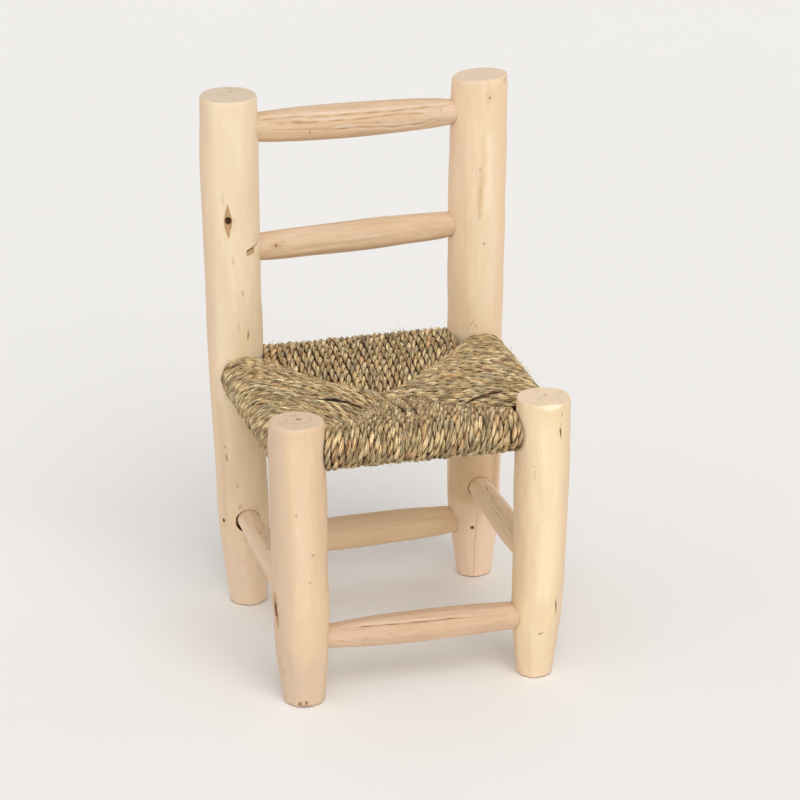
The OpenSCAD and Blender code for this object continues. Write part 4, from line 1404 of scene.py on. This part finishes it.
def seam_places():
    """Where each turn of each corner meets its seam, decided by the front and back rails' turns."""
    places = {}
    for rail in ("front", "back"):
        for corner, number, p in rail_turns(rail):
            x, y, z = zip(*sorted(SEAMS[corner]))
            places[corner, number] = np.array([p[0], np.interp(p[0], x, y), np.interp(p[0], x, z)])
    return places


def bent(a, control, b, count):
    """A bow of points from a to b, drawn towards the control point."""
    t = np.linspace(0, 1, count)[:, None]
    return (1 - t) ** 2 * a + 2 * t * (1 - t) * control + t ** 2 * b


def levelled(vector):
    """The level direction of a vector, at length one."""
    flat = vector * (1, 1, 0)
    return flat / max(np.linalg.norm(flat), 1e-6)


def round_rail(run, p):
    """The stretch of a turn round the rail's outside at the point p, with its outward side."""
    a = np.radians(np.linspace(90, -90, 13))[1:-1, None]
    side = np.cos(a) * run.out + np.sin(a) * UP
    spread = np.zeros((len(a), 1))
    for edge, way in ((run.first, 1), (run.last, -1)):
        near = np.linalg.norm(p - edge)
        if near < SPREAD_NEAR:
            spread = spread - way * SPREAD * (1 - near / SPREAD_NEAR) * np.cos(a) ** 2
    return p + run.radius * side + spread * run.along, side


def turn_path(rail, corner, number, p, seams, dives=True):
    """A turn's centreline: up at the seam, over the rail and back under the seat, with its outward side."""
    run = rail_run(rail)
    is_side = rail in SIDE_RAILS
    seam = seams[corner, number]
    top, bottom = p + UP * run.radius, p - UP * run.radius

    end = np.array([seam[0], seam[1], seam[2] - ROPE_SUNK - (0 if is_side else CROSS_DIP)])
    span = np.linalg.norm(end[:2] - top[:2])
    lean = 0.62 if is_side and corner[0] == "F" else 0.5
    control = top - run.out * span * lean
    control[2] = top[2] - 0.2
    upper = bent(end, control, top, 14)

    low_end = np.array([seam[0], seam[1], UNDERSIDE + (0 if is_side else UNDER_CROSS)])
    control = bottom - run.out * span * 0.5
    control[2] = UNDERSIDE - 0.5
    lower = bent(bottom, control, low_end, 10)

    parts = [(upper, UP), round_rail(run, p), (lower, -UP)]
    if dives:
        heading, low_heading = levelled(upper[0] - upper[1]), levelled(lower[-1] - lower[-2])
        steps = SIDE_DIVE if is_side else CROSS_DIVE
        rise = np.array([upper[0] + heading * far + UP * drop for far, drop in steps[::-1]])
        sink = np.array([lower[-1] + low_heading * far + UP * lift for far, lift in UNDER_DIVE])
        parts = [(rise, UP), *parts, (sink, -UP)]
    outward = [np.broadcast_to(side, points.shape) for points, side in parts]
    return np.concatenate([points for points, _ in parts]), np.concatenate(outward)


def rounded(points, outward):
    """A finer line that runs smoothly through the points, with its outward side."""
    padded = np.concatenate([[2 * points[0] - points[1]], points, [2 * points[-1] - points[-2]]])
    t = np.linspace(0, 1, 8, endpoint=False)[:, None]
    fine, sides = [], []
    for i in range(len(points) - 1):
        p0, p1, p2, p3 = padded[i:i + 4]
        square, cube = 2 * p0 - 5 * p1 + 4 * p2 - p3, 3 * p1 - p0 - 3 * p2 + p3
        fine.append(0.5 * (2 * p1 + (p2 - p0) * t + square * t ** 2 + cube * t ** 3))
        sides.append(outward[i] * (1 - t) + outward[i + 1] * t)
    return np.concatenate(fine + [points[-1:]]), np.concatenate(sides + [outward[-1:]])


def evenly(points, outward):
    """A smooth line through the points at even steps: its points, outward sides and distances."""
    d = np.linalg.norm(np.diff(points, axis=0), axis=1)
    keep = np.concatenate([[True], d > 0.05])
    fine, sides = rounded(points[keep], outward[keep])
    s = np.concatenate([[0], np.cumsum(np.linalg.norm(np.diff(fine, axis=0), axis=1))])
    # wider steps under the seat, where nothing shows
    steps = np.where(sides[1:, 2] < -0.4, 0.5, 1.0) * np.diff(s)
    done = np.concatenate([[0], np.cumsum(steps)])
    count = max(8, int(round(done[-1] / RING_GAP)))
    at = np.interp(np.linspace(0, done[-1], count), done, s)
    line = np.stack([np.interp(at, s, fine[:, k]) for k in range(3)], 1)
    side = np.stack([np.interp(at, s, sides[:, k]) for k in range(3)], 1)
    side /= np.linalg.norm(side, axis=1)[:, None]
    return line, side, at


def wander(rng, s, size, wave):
    """A slow random drift along a rope."""
    knots = np.arange(s[0] - wave, s[-1] + 2 * wave, wave)
    values = rng.normal(0, size, len(knots))
    t = (s - knots[0]) / wave
    i = np.clip(t.astype(int), 0, len(knots) - 2)
    f = t - i
    f = f * f * (3 - 2 * f)
    return values[i] * (1 - f) + values[i + 1] * f


class Rope:
    """Gathers the twisted turns of one field of the seat."""

    def __init__(self, sizes):
        self.points, self.faces = [], []
        self.layers = {name: [] for name in ("fibre", "ply", "groove", "tint", "slit", "worn")}
        self.count = 0
        self.length = 0.0
        self.radius = sizes.rope_thickness / MM / 2
        self.lay = sizes.rope_lay / MM
        half = np.array(PLY_ANGLES, float)
        self.phi = np.radians(np.concatenate([half, half + 180]))
        self.second_ply = np.arange(len(self.phi)) >= len(half)

    def crease(self, width):
        """One at the line where the two plies meet, falling off over that many radians."""
        return np.exp(-((np.arcsin(np.abs(np.cos(self.phi)))) / width) ** 2)

    def profile(self, swell):
        """Distance from the rope's centre at each angle of its two plies."""
        return self.radius * swell * (1 - 0.46 * self.crease(0.42)) * (0.97 + 0.06 * np.cos(self.phi) ** 2)

    def add(self, line, side, s, rng, number, tint, slit):
        """Adds one turn; slit points from it towards a gap, as strong as the gap is wide, for the painted
        shade there.
        """
        rows, columns = len(line), len(self.phi)
        tangent = np.gradient(line, axis=0)
        tangent /= np.linalg.norm(tangent, axis=1)[:, None]
        across = np.cross(tangent, side)
        across /= np.linalg.norm(across, axis=1)[:, None]
        normal = np.cross(across, tangent)
        lay = self.lay * rng.uniform(0.93, 1.07)
        twist = rng.uniform(0, 2 * np.pi) - 2 * np.pi * s / lay + wander(rng, s, 0.28, 24)
        size = rng.uniform(0.96, 1.04)
        first_swell, second_swell = 1 + wander(rng, s, 0.07, 8), 1 + wander(rng, s, 0.07, 8)
        swell = np.where(self.second_ply, second_swell[:, None], first_swell[:, None])
        blades = np.stack([wander(rng, s, 0.055, 7) for _ in range(columns)], 1)
        r = size * self.profile(swell) * (1 + blades + rng.normal(0, 0.012, (rows, columns)))
        angle = self.phi[None, :] + twist[:, None]
        way = np.cos(angle)[..., None] * normal[:, None] - np.sin(angle)[..., None] * across[:, None]
        self.points.append((line[:, None] + r[..., None] * way).reshape(-1, 3))
        self.faces += stick_faces(rows, columns, self.count)
        self.count += rows * columns
        self.length += s[-1]

        streak = angle - 0.45 * twist[:, None]
        along = np.repeat(s[:, None] * MM + 0.37 * number, columns, 1)
        ply = self.second_ply + 0 * along
        # painted shade on the sides of a turn that face the next turns
        shade_between_turns = smooth(0.50, -0.25, np.cos(angle))
        # painted light: palest over the rail's outer edge, and painted shade under it
        outer, below = np.exp(-((side[:, 2] - 0.45) / 0.30) ** 2), smooth(0.10, -0.45, side[:, 2])
        self.store(
            fibre=np.stack([along, 0.003 * np.cos(streak), 0.003 * np.sin(streak)], -1).reshape(-1, 3),
            ply=np.stack([along, 7.3 * ply + 0.61 * number, 0 * along], -1).reshape(-1, 3),
            # groove: painted shade in the crease between the plies and between turns
            groove=np.maximum(0.92 * self.crease(0.40)[None, :], 0.95 * shade_between_turns).ravel(),
            tint=(tint[:, None] * ply).ravel(),
            # slit: painted shade where a turn faces a gap
            slit=smooth(0.25, 0.75, (way * slit[:, None]).sum(-1)).ravel(),
            worn=np.repeat(1 + 0.12 * outer - 0.14 * below, columns),
        )

    def store(self, **layers):
        """Keeps what the material reads from each point of a turn."""
        for name, values in layers.items():
            self.layers[name].append(values)

    def piece(self, name, material):
        """Makes the field's piece from the turns that were added."""
        made = make_piece(name, np.concatenate(self.points), self.faces, material, "rope_seat")
        give(made.data, **{layer: np.concatenate(parts) for layer, parts in self.layers.items()})


# Gaps between a turn and the next one: rail, corner, number, from, to (share of the turn), how wide
GAPS = [
    ("left", "FL", 9, 0.03, 0.25, 1.9), ("right", "FR", 4, 0.04, 0.26, 1.7),
    ("front", "FL", 14, 0.17, 0.42, 1.1), ("front", "FR", 15, 0.17, 0.40, 0.8),
]
# past this width the painted shade in a gap is at full strength
WIDE_GAP = 1.7  # from here on a gap is fully dark
# Turns with rust-coloured or dark blades: rail, corner, number, from, to (share of the turn), tint
BLADES = [
    ("right", "BR", 12, 0.17, 0.22, 1.0), ("right", "FR", 15, 0.20, 0.27, 0.9),
    ("right", "BR", 13, 0.19, 0.24, 0.8), ("right", "BR", 3, 0.10, 0.15, 0.9),
    ("right", "BR", 8, 0.18, 0.24, 0.9), ("back", "BL", 13, 0.23, 0.29, 1.0),
    ("back", "BL", 9, 0.18, 0.24, 0.8), ("back", "BL", 0, 0.1, 0.5, 0.6), ("back", "BL", 1, 0.15, 0.4, 0.4),
    ("left", "BL", 9, 0.20, 0.26, 0.8), ("left", "BL", 4, 0.02, 0.08, 0.7),
    ("left", "BL", 11, 0.19, 0.24, 0.6), ("front", "FR", 16, 0.44, 0.51, 1.0),
    ("front", "FL", 6, 0.42, 0.47, 0.7), ("front", "FL", 0, 0.5, 0.72, -0.4),
    ("front", "FR", 0, 0.45, 0.7, -0.5), ("front", "FR", 2, 0.55, 0.72, 0.4),
    ("front", "FL", 3, 0.52, 0.64, 0.5), ("back", "BR", 4, 0.2, 0.3, 0.5),
    ("left", "BL", 2, 0.3, 0.36, 0.5), ("left", "FL", 5, 0.3, 0.38, 0.5),
]
HUG = (0.45, 0.34, 0.23, 0.13, 0.05)  # how far the first turns of a corner are drawn in


def opened(line, share, rail, corner, number):
    """The turn with its gaps to its neighbours, and how strongly each point lies at one."""
    along = rail_run(rail).along
    inward = along if corner == ROPE_RAILS[rail][0] else -along
    slit = 0 * line
    for gap_rail, gap_corner, gap_number, lo, hi, size in GAPS:
        if (gap_rail, gap_corner) == (rail, corner) and number in (gap_number, gap_number + 1):
            way = 1 if number == gap_number + 1 else -1
            bump = np.sin(np.pi * np.clip((share - lo) / (hi - lo), 0, 1))
            line = line + (way * size * bump)[:, None] * inward
            slit = slit - (way * min(1, size / WIDE_GAP) * np.sqrt(bump))[:, None] * inward
    return line, slit


def hug_post(line, corner, number):
    """Draws the first turns of a corner in towards the post, where the rope leaves no gap."""
    if number >= len(HUG):
        return line
    x, y, radius = SEAT_POSTS[corner]
    clear = radius + 3.3 + 6.0 * number
    off = line[:, :2] - (x, y)
    far = np.linalg.norm(off, axis=1)
    pull = HUG[number] * smooth(22, 6, far - clear) * np.maximum(0, far - clear)
    line = line.copy()
    line[:, :2] -= off / far[:, None] * pull[:, None]
    return line


def blade_tint(side, share, turn):
    """The tint of a turn: slight under the rail, stronger where it has blades of another colour."""
    tint = 0.16 * smooth(0.35, -0.6, side[:, 2])
    for *blade_turn, lo, hi, strength in BLADES:
        if tuple(blade_turn) == turn:
            tint = tint + strength * smooth(lo, lo + 0.02, share) * smooth(hi, hi - 0.02, share)
    return tint


def build_rope_fields(sizes, materials):
    """Winds the four fields, and returns the line and outward side of every turn."""
    seams = seam_places()
    lines = {}
    total = 0.0
    for index, rail in enumerate(ROPE_RAILS):
        rope = Rope(sizes)
        along = rail_run(rail).along
        for corner, number, p in rail_turns(rail):
            corner_index = sorted(TURNS).index(corner)
            rng = np.random.default_rng(1000 * (index + 1) + 40 * corner_index + number)
            line, side, s = evenly(*turn_path(rail, corner, number, p, seams))
            share = s / s[-1]
            shift = wander(rng, s, 0.42, 19)
            lift = wander(rng, s, 0.42, 14)
            line, slit = opened(line, share, rail, corner, number)
            line = line + shift[:, None] * along + lift[:, None] * side
            line = hug_post(line, corner, number)
            tint = blade_tint(side, share, (rail, corner, number))
            rope.add(line, side, s, rng, 100 * index + 20 * corner_index + number, tint, slit)
            lines[rail, corner, number] = line, side
        rope.piece("rope_" + rail, materials[rail])
        total += rope.length
    print(f"rope: {total / 1000:.1f} m in the turns")
    return lines


def slab_faces(rows, columns):
    """Faces of a thin slab: a grid, a second one that faces the other way, and the rim between them."""
    below = rows * columns
    outer = grid_faces(rows, columns, False)
    inner = [[v + below for v in f[::-1]] for f in outer]
    rim = [i * columns for i in range(rows)] + [(rows - 1) * columns + j for j in range(1, columns)]
    rim += [i * columns + columns - 1 for i in range(rows - 2, -1, -1)] + list(range(columns - 2, 0, -1))
    return outer + inner + [[b, a, a + below, b + below] for a, b in zip(rim, rim[1:] + rim[:1])]


def build_under_layer(material):
    """The turns' hidden second layer: a thin band close under each field, so that the gaps look filled."""
    depths = (2.2, 3.6)  # from the turns' centres to the band's two sides
    past_seam = 1.5
    seams = seam_places()
    for rail in ROPE_RAILS:
        turns = [turn_path(rail, *turn, seams, dives=False) for turn in rail_turns(rail)]
        grid, out = np.array([path for path, _ in turns]), np.array([outward for _, outward in turns])
        out = out / np.linalg.norm(out, axis=2)[..., None]
        for end, neighbour in ((0, 1), (-1, -2)):
            step = grid[:, end] - grid[:, neighbour]
            step[:, 2] = 0
            grid[:, end] += step / np.maximum(np.linalg.norm(step, axis=1), 1e-6)[:, None] * past_seam
        points = np.concatenate([(grid - out * depth).reshape(-1, 3) for depth in depths])
        faces = slab_faces(*grid.shape[:2])
        make_piece("under_layer_" + rail, points, faces, material, "rope_seat")


# Loose fibres

# A kind of loose fibre: ranges of its length, lift, curl and radius, and how deep it starts in the rope
Fibre = namedtuple("Fibre", "length lift curl radius sunk")
STANDING = Fibre((2.5, 7), (0.15, 0.7), (-0.35, 0.5), (0.13, 0.24), 0.5)
LYING = Fibre((7, 17), (-0.03, 0.10), (0.0, 0.15), (0.20, 0.38), 0.1)
FIBRE_SIDES = 4

# Longer loose ends: rail, corner, number of the turn, share of the turn, lift and length
LONG_ENDS = [
    ("left", "BL", 12, 0.54, 0.9, 12), ("right", "BR", 2, 0.43, 0.7, 10), ("right", "FR", 13, 0.46, 0.8, 9),
    ("back", "BR", 0, 0.39, 1.0, 9), ("front", "FR", 2, 0.57, 0.5, 15), ("front", "FR", 4, 0.55, 0.4, 13),
    ("back", "BL", 6, 0.41, 0.9, 8), ("back", "BR", 10, 0.44, 0.8, 7), ("front", "FL", 3, 0.62, 0.6, 8),
    ("front", "FR", 9, 0.58, 0.7, 8), ("left", "FL", 6, 0.5, 0.7, 8), ("left", "BL", 4, 0.45, 0.8, 7),
]


def tube(line, radii):
    """Points of a thin tapering fibre."""
    tangent = np.gradient(line, axis=0)
    tangent /= np.linalg.norm(tangent, axis=1)[:, None] + 1e-9
    u = np.cross(tangent, [0.31, 0.52, 0.79])
    u /= np.linalg.norm(u, axis=1)[:, None] + 1e-9
    w = np.cross(tangent, u)
    a = np.arange(FIBRE_SIDES) * 2 * np.pi / FIBRE_SIDES
    ring = np.cos(a)[None, :, None] * u[:, None] + np.sin(a)[None, :, None] * w[:, None]
    return (line[:, None] + np.asarray(radii)[:, None, None] * ring).reshape(-1, 3)


def build_stray_fibres(lines, count, rope_radius, material):
    """Loose blades of grass that lie on the rope or stand off it."""
    rng = np.random.default_rng(77)
    turns = list(lines.values())
    chosen = []
    for k in range(count):
        line, side = turns[rng.integers(len(turns))]
        kind = STANDING if k % 4 == 0 else LYING
        chosen.append((line, side, int(rng.uniform(0.05, 0.82) * len(line)), kind, None))
    for *turn, share, lift, length in LONG_ENDS:
        line, side = lines[tuple(turn)]
        chosen.append((line, side, int(share * len(line)), STANDING, (lift, length)))
    t = np.linspace(0, 1, 6)
    points, faces = [], []
    for line, side, i, kind, given in chosen:
        heading = unit((line[min(i + 2, len(line) - 1)] - line[i - 1]) * rng.choice([-1, 1]))
        lateral = np.cross(side[i], heading)
        length, lift, curl = rng.uniform(*kind.length), rng.uniform(*kind.lift), rng.uniform(*kind.curl)
        if given:
            lift, length = given
        start = line[i] + side[i] * (rope_radius - kind.sunk) + lateral * rng.uniform(-1.5, 1.5)
        ahead = heading + lateral * rng.normal(0, 0.3)
        rise = (lift * t - curl * 0.35 * t ** 2)[:, None]
        fibre = start + length * (t[:, None] * ahead + side[i] * rise)
        radii = rng.uniform(*kind.radius) * (1 - 0.6 * t)
        faces += stick_faces(len(t), FIBRE_SIDES, len(points) * len(t) * FIBRE_SIDES)
        points.append(tube(fibre, radii))
    make_piece("stray_fibres", np.concatenate(points), faces, material, "rope_seat")


# Stage

# The camera of the photograph: its place, its right, up and backward directions, its lens
CAMERA_PLACE = (-0.710561, -2.798771, 1.450683)
CAMERA_RIGHT = (0.967578, -0.252539, -0.003996)
CAMERA_UP = (0.099642, 0.367134, 0.924816)
CAMERA_BACK = (-0.232085, -0.895230, 0.380395)
CAMERA_LENS = 138.431
SENSOR_WIDTH = 36.0
SKY_COLOUR = (1.0, 0.99, 0.975)


def make_camera(scene):
    """Stands the camera where the photograph was taken."""
    data = bpy.data.cameras.new("camera")
    data.sensor_width = SENSOR_WIDTH
    data.lens = CAMERA_LENS
    data.clip_start, data.clip_end = 0.1, 100
    camera = bpy.data.objects.new("camera", data)
    turn = Matrix((CAMERA_RIGHT, CAMERA_UP, CAMERA_BACK)).transposed().to_4x4()
    camera.matrix_world = Matrix.Translation(CAMERA_PLACE) @ turn
    scene.collection.objects.link(camera)
    scene.camera = camera


def floor_material(colour):
    """Pale, dull and very faintly uneven."""
    material, nodes = new_material("studio_floor")
    soft = nodes.noise(nodes.place(), 0.9, 2.0)
    nodes.surface({
        "Base Color": nodes.blend(soft, tinted(colour, 0.985), colour),
        "Roughness": 0.75,
        "Specular IOR Level": 0.2,
    })
    return material


def make_floor(scene, size, colour):
    """Lays the plain pale floor."""
    half = size / 2
    mesh = bpy.data.meshes.new("floor")
    corners = [(-half, -half, 0), (half, -half, 0), (half, half, 0), (-half, half, 0)]
    mesh.from_pydata(corners, [], [[0, 1, 2, 3]])
    mesh.materials.append(floor_material(colour))
    floor = bpy.data.objects.new("floor", mesh)
    scene.collection.objects.link(floor)


def make_sky(scene, strength):
    """Even light from all round, in front of a white background."""
    world = bpy.data.worlds.new("studio")
    scene.world = world
    world.use_nodes = True
    nodes = Nodes(world.node_tree)
    path = nodes.put("LightPath")
    seen = nodes.calc("MAXIMUM", path.outputs["Is Camera Ray"], path.outputs["Is Glossy Ray"])
    seen = nodes.calc("MAXIMUM", seen, path.outputs["Is Transmission Ray"])
    level = nodes.level(seen, 0.0, 1.0, strength, 1.0)
    sky = nodes.put("Background", {"Color": SKY_COLOUR, "Strength": level})
    nodes.put("OutputWorld", {"Surface": sky.outputs[0]})


def make_lamps(scene, sizes):
    """Hangs the soft main light in front and the weaker one on the left."""
    # name, azimuth, elevation, how wide the light is, strength, colour
    lamps = (
        ("key", -85, 42, 50, sizes.key_level, (1.0, 0.985, 0.955)),
        ("fill", -165, 40, 70, sizes.fill_level, (1.0, 0.99, 0.97)),
    )
    for name, azimuth, elevation, spread, power, colour in lamps:
        data = bpy.data.lights.new(name, "SUN")
        data.angle = math.radians(spread)
        data.energy = power
        data.color = colour
        lamp = bpy.data.objects.new(name, data)
        lamp.rotation_euler = (math.radians(90 - elevation), 0, math.radians(azimuth + 90))
        scene.collection.objects.link(lamp)


# Settings


def length_setting(name, description, default, low, high, digits=3):
    """A length, in metres."""
    return FloatProperty(
        name=name, description=description, default=default, min=low, max=high,
        unit="LENGTH", precision=digits,
    )


def colour_setting(name, description, default):
    """A colour."""
    return FloatVectorProperty(
        name=name, description=description, default=default, subtype="COLOR", min=0, max=1,
    )


def light_setting(name, description, default):
    """The strength of a lamp."""
    return FloatProperty(name=name, description=description, default=default, min=0, max=10)


class ChairSizes(bpy.types.PropertyGroup):
    """Sizes and lights that a user may change before building."""

    rope_thickness: length_setting("Rope thickness", "Across both plies of the rope", 0.0065, 0.004, 0.008, 4)
    rope_lay: length_setting("Rope lay", "Length of rope for one full turn of its twist", 0.024, 0.015, 0.04)
    stray_fibres: IntProperty(
        name="Stray fibres", description="Number of loose blades of grass", default=1100, min=0, max=2000,
    )
    floor_size: length_setting("Floor size", "Width of the pale studio floor", 40.0, 4, 80)
    key_level: light_setting("Key light", "Strength of the soft main light from the front", 1.5)
    fill_level: light_setting("Fill light", "Strength of the soft light from the left", 0.3)
    sky_level: FloatProperty(
        name="Sky light", description="Strength of the even light from all round", default=0.55, min=0, max=1,
        subtype="FACTOR",
    )


class ChairColours(bpy.types.PropertyGroup):
    """Colours of the wood, rope and floor."""

    post_pale: colour_setting("Post wood, pale", "Main colour of the peeled posts", (0.89, 0.71, 0.49))
    post_warm: colour_setting("Post wood, warm", "Warmer patches of the posts", (0.83, 0.64, 0.42))
    wood_pink: colour_setting("Whittled wood", "Pinkish wood where the knife has cut", (0.84, 0.63, 0.47))
    rung_pale: colour_setting("Rung wood", "Main colour of the whittled rungs", (0.82, 0.605, 0.43))
    rope_straw: colour_setting("Rope, straw", "Lightest blades of the rope", (1.0, 0.725, 0.39))
    rope_green: colour_setting("Rope, green", "Grey-green blades of the rope", (0.72, 0.55, 0.285))
    rope_brown: colour_setting("Rope, brown", "Darkest blades of the rope", (0.33, 0.17, 0.075))
    rope_tan: colour_setting("Rope, tan", "Pinkish tan blades of the rope", (0.86, 0.55, 0.27))
    floor: colour_setting("Floor", "Pale studio floor", (0.94, 0.93, 0.92))


# How one post's wood differs: shares of red, green and blue, streaks, strength and brightness of the whittled
# tone, place in the noise, brightness of the sawn top, strength of its middle
# The whittled tone's brightness is partly painted light: raised on the back right post's foot in the seat's
# shade, lowered on the front left post's foot, which gets less light near the floor.
POST_WOODS_AND_LIGHT = {
    "post_back_left": ((1.0, 1.03, 1.06), 0.15, 0.7, 1.0, 0.0, 0.95, 0.5),
    "post_back_right": ((1.01, 0.99, 0.99), 0.40, 1.2, 1.15, 3.1, 1.00, 0.3),
    "post_front_left": ((0.90, 0.84, 0.81), 0.25, 0.9, 0.84, 5.3, 1.10, 0.9),
    "post_front_right": ((1.02, 1.01, 0.97), 0.20, 0.4, 0.92, 8.9, 1.14, 0.35),
}
# How one rung's wood differs: shares of red, green and blue, streaks, strength of the rings,
# place in the noise
# The shares are partly painted light: raised on the rungs that lie in the seat's shade, lowered on the lit
# front stretcher and back rails.
RUNG_WOODS_AND_LIGHT = {
    "back_rail_upper": ((0.91, 0.92, 0.93), 1.2, 1.0, 12.7),
    "back_rail_lower": ((0.91, 0.925, 0.93), 1.0, 0.8, 16.2),
    "stretcher_front": ((0.86, 0.85, 0.86), 0.8, 0.6, 12.7),
    "stretcher_back": ((1.01, 1.03, 0.97), 0.5, 0.25, 12.7),
    "stretcher_left": ((1.08, 1.13, 1.17), 0.6, 0.4, 21.4),
    "stretcher_right": ((1.21, 1.28, 1.27), 0.7, 0.5, 21.4),
}
RUNG_WARMTH = (0.92, 0.85, 0.74)  # shares of red, green and blue in its warmer patches
RUNG_WHITTLED = 0.8  # strength of the whittled tone
POST_RINGS = 0.08  # strength of the rings
# Brightness of each field's hank of rope, partly painted light that stands for how each field faces the lamps
ROPE_BRIGHTNESS = {"front": 1.02, "right": 1.0, "back": 1.02, "left": 0.97}


# Operators


class CHAIR_OT_stage(bpy.types.Operator):
    """Makes the camera, the pale floor and the soft studio light"""

    bl_idname = "chair.stage"
    bl_label = "Stage"

    def execute(self, context):
        scene = context.scene
        make_camera(scene)
        make_floor(scene, scene.chair_sizes.floor_size, scene.chair_colours.floor)
        make_sky(scene, scene.chair_sizes.sky_level)
        make_lamps(scene, scene.chair_sizes)
        scene.view_settings.view_transform = "Standard"
        return {"FINISHED"}


class CHAIR_OT_posts(bpy.types.Operator):
    """Builds the four peeled posts with their mortises"""

    bl_idname = "chair.posts"
    bl_label = "Posts"

    def execute(self, context):
        colours = context.scene.chair_colours
        for name, (shares, streaks, whittled, cut_share, seed, sawn_share, pith) in POST_WOODS_AND_LIGHT.items():
            pale, warm = tinted(colours.post_pale, shares), tinted(colours.post_warm, shares)
            pink = tinted(colours.wood_pink, cut_share)
            marks = post_marks(name)
            wood = Wood(pale, warm, pink, "Z", marks, streaks, POST_RINGS, whittled, seed, sawn_share, pith)
            build_post(name, WoodFinish(name + "_finish", wood).build())
        return {"FINISHED"}


class CHAIR_OT_rungs(bpy.types.Operator):
    """Builds the two back rails and the four stretchers"""

    bl_idname = "chair.rungs"
    bl_label = "Rails and stretchers"

    def execute(self, context):
        colours = context.scene.chair_colours
        for name, (shares, streaks, rings_shown, seed) in RUNG_WOODS_AND_LIGHT.items():
            # the shares carry painted light as well as the wood's colour
            pale, pink = tinted(colours.rung_pale, shares), tinted(colours.wood_pink, shares)
            grain = "X" if abs(rung_frame(name)[1][0]) > 0.5 else "Y"
            marks = rung_marks(name)
            warm = tinted(pale, RUNG_WARMTH)
            wood = Wood(pale, warm, pink, grain, marks, streaks, rings_shown, RUNG_WHITTLED, seed)
            build_rung(name, WoodFinish(name + "_finish", wood).build())
        return {"FINISHED"}


class CHAIR_OT_seat_rails(bpy.types.Operator):
    """Gives the four hidden seat rails their wood"""

    bl_idname = "chair.seat_rails"
    bl_label = "Seat rails"

    def execute(self, context):
        colours = context.scene.chair_colours
        pale, pink = tinted(colours.rung_pale, 0.85), list(colours.wood_pink)
        warm = tinted(pale, 0.8)
        for name in SEAT_RAILS:
            grain = "X" if name.endswith(("front", "back")) else "Y"
            wood = Wood(pale, warm, pink, grain, streaks=0.8, rings_shown=0.6, whittled=0.6, seed=31.0)
            dress(name, WoodFinish(name + "_finish", wood).build())
        return {"FINISHED"}


class CHAIR_OT_rope_seat(bpy.types.Operator):
    """Winds the rope over the four seat rails"""

    bl_idname = "chair.rope_seat"
    bl_label = "Rope seat"

    def execute(self, context):
        sizes, colours = context.scene.chair_sizes, context.scene.chair_colours
        straw, green = list(colours.rope_straw), list(colours.rope_green)
        brown, tan = list(colours.rope_brown), list(colours.rope_tan)
        materials = {}
        for rail, brightness in ROPE_BRIGHTNESS.items():
            grass = Grass(straw, green, brown, tan, brightness)
            materials[rail] = rope_material("grass_rope_" + rail, grass)
        lines = build_rope_fields(sizes, materials)
        # the band under the turns is rope darkened to painted shade
        dark = [tinted(brown, 0.25), tinted(brown, 0.6)]
        build_under_layer(plain_fibre_material("shaded_inner_rope", dark, 0.004))
        loose = [brown, tan, green, straw, tinted(straw, 1.25)]
        fibre_finish = plain_fibre_material("loose_fibre", loose, 0.005)
        build_stray_fibres(lines, sizes.stray_fibres, sizes.rope_thickness / MM / 2, fibre_finish)
        return {"FINISHED"}


class CHAIR_OT_nails(bpy.types.Operator):
    """Gives the two tenon nails their dark metal"""

    bl_idname = "chair.nails"
    bl_label = "Nails"

    def execute(self, context):
        dress("tenon_nails", nail_material("nail_metal"))
        return {"FINISHED"}


class CHAIR_PT_panel(bpy.types.Panel):
    """Lists the steps that build the chair"""

    bl_label = "Child's chair"
    bl_idname = "CHAIR_PT_panel"
    bl_space_type = "VIEW_3D"
    bl_region_type = "UI"
    bl_category = "Chair"

    def draw(self, context):
        layout = self.layout
        for group in (context.scene.chair_sizes, context.scene.chair_colours):
            box = layout.box()
            for key in group.__annotations__:
                box.prop(group, key)
        for step in STEPS:
            layout.operator(step.bl_idname)


STEPS = (
    CHAIR_OT_stage, CHAIR_OT_posts, CHAIR_OT_rungs, CHAIR_OT_seat_rails, CHAIR_OT_rope_seat, CHAIR_OT_nails,
)
CLASSES = (ChairSizes, ChairColours, *STEPS, CHAIR_PT_panel)


def register():
    """Registers the classes and gives the scene its settings."""
    for cls in CLASSES:
        bpy.utils.register_class(cls)
    bpy.types.Scene.chair_sizes = PointerProperty(type=ChairSizes)
    bpy.types.Scene.chair_colours = PointerProperty(type=ChairColours)


def unregister():
    """Takes the settings and the classes away again."""
    del bpy.types.Scene.chair_colours
    del bpy.types.Scene.chair_sizes
    for cls in reversed(CLASSES):
        bpy.utils.unregister_class(cls)


def main():
    """Builds the whole chair."""
    register()
    bpy.ops.chair.stage()
    bpy.ops.chair.posts()
    bpy.ops.chair.rungs()
    bpy.ops.chair.seat_rails()
    bpy.ops.chair.rope_seat()
    bpy.ops.chair.nails()


if __name__ == "__main__":
    main()
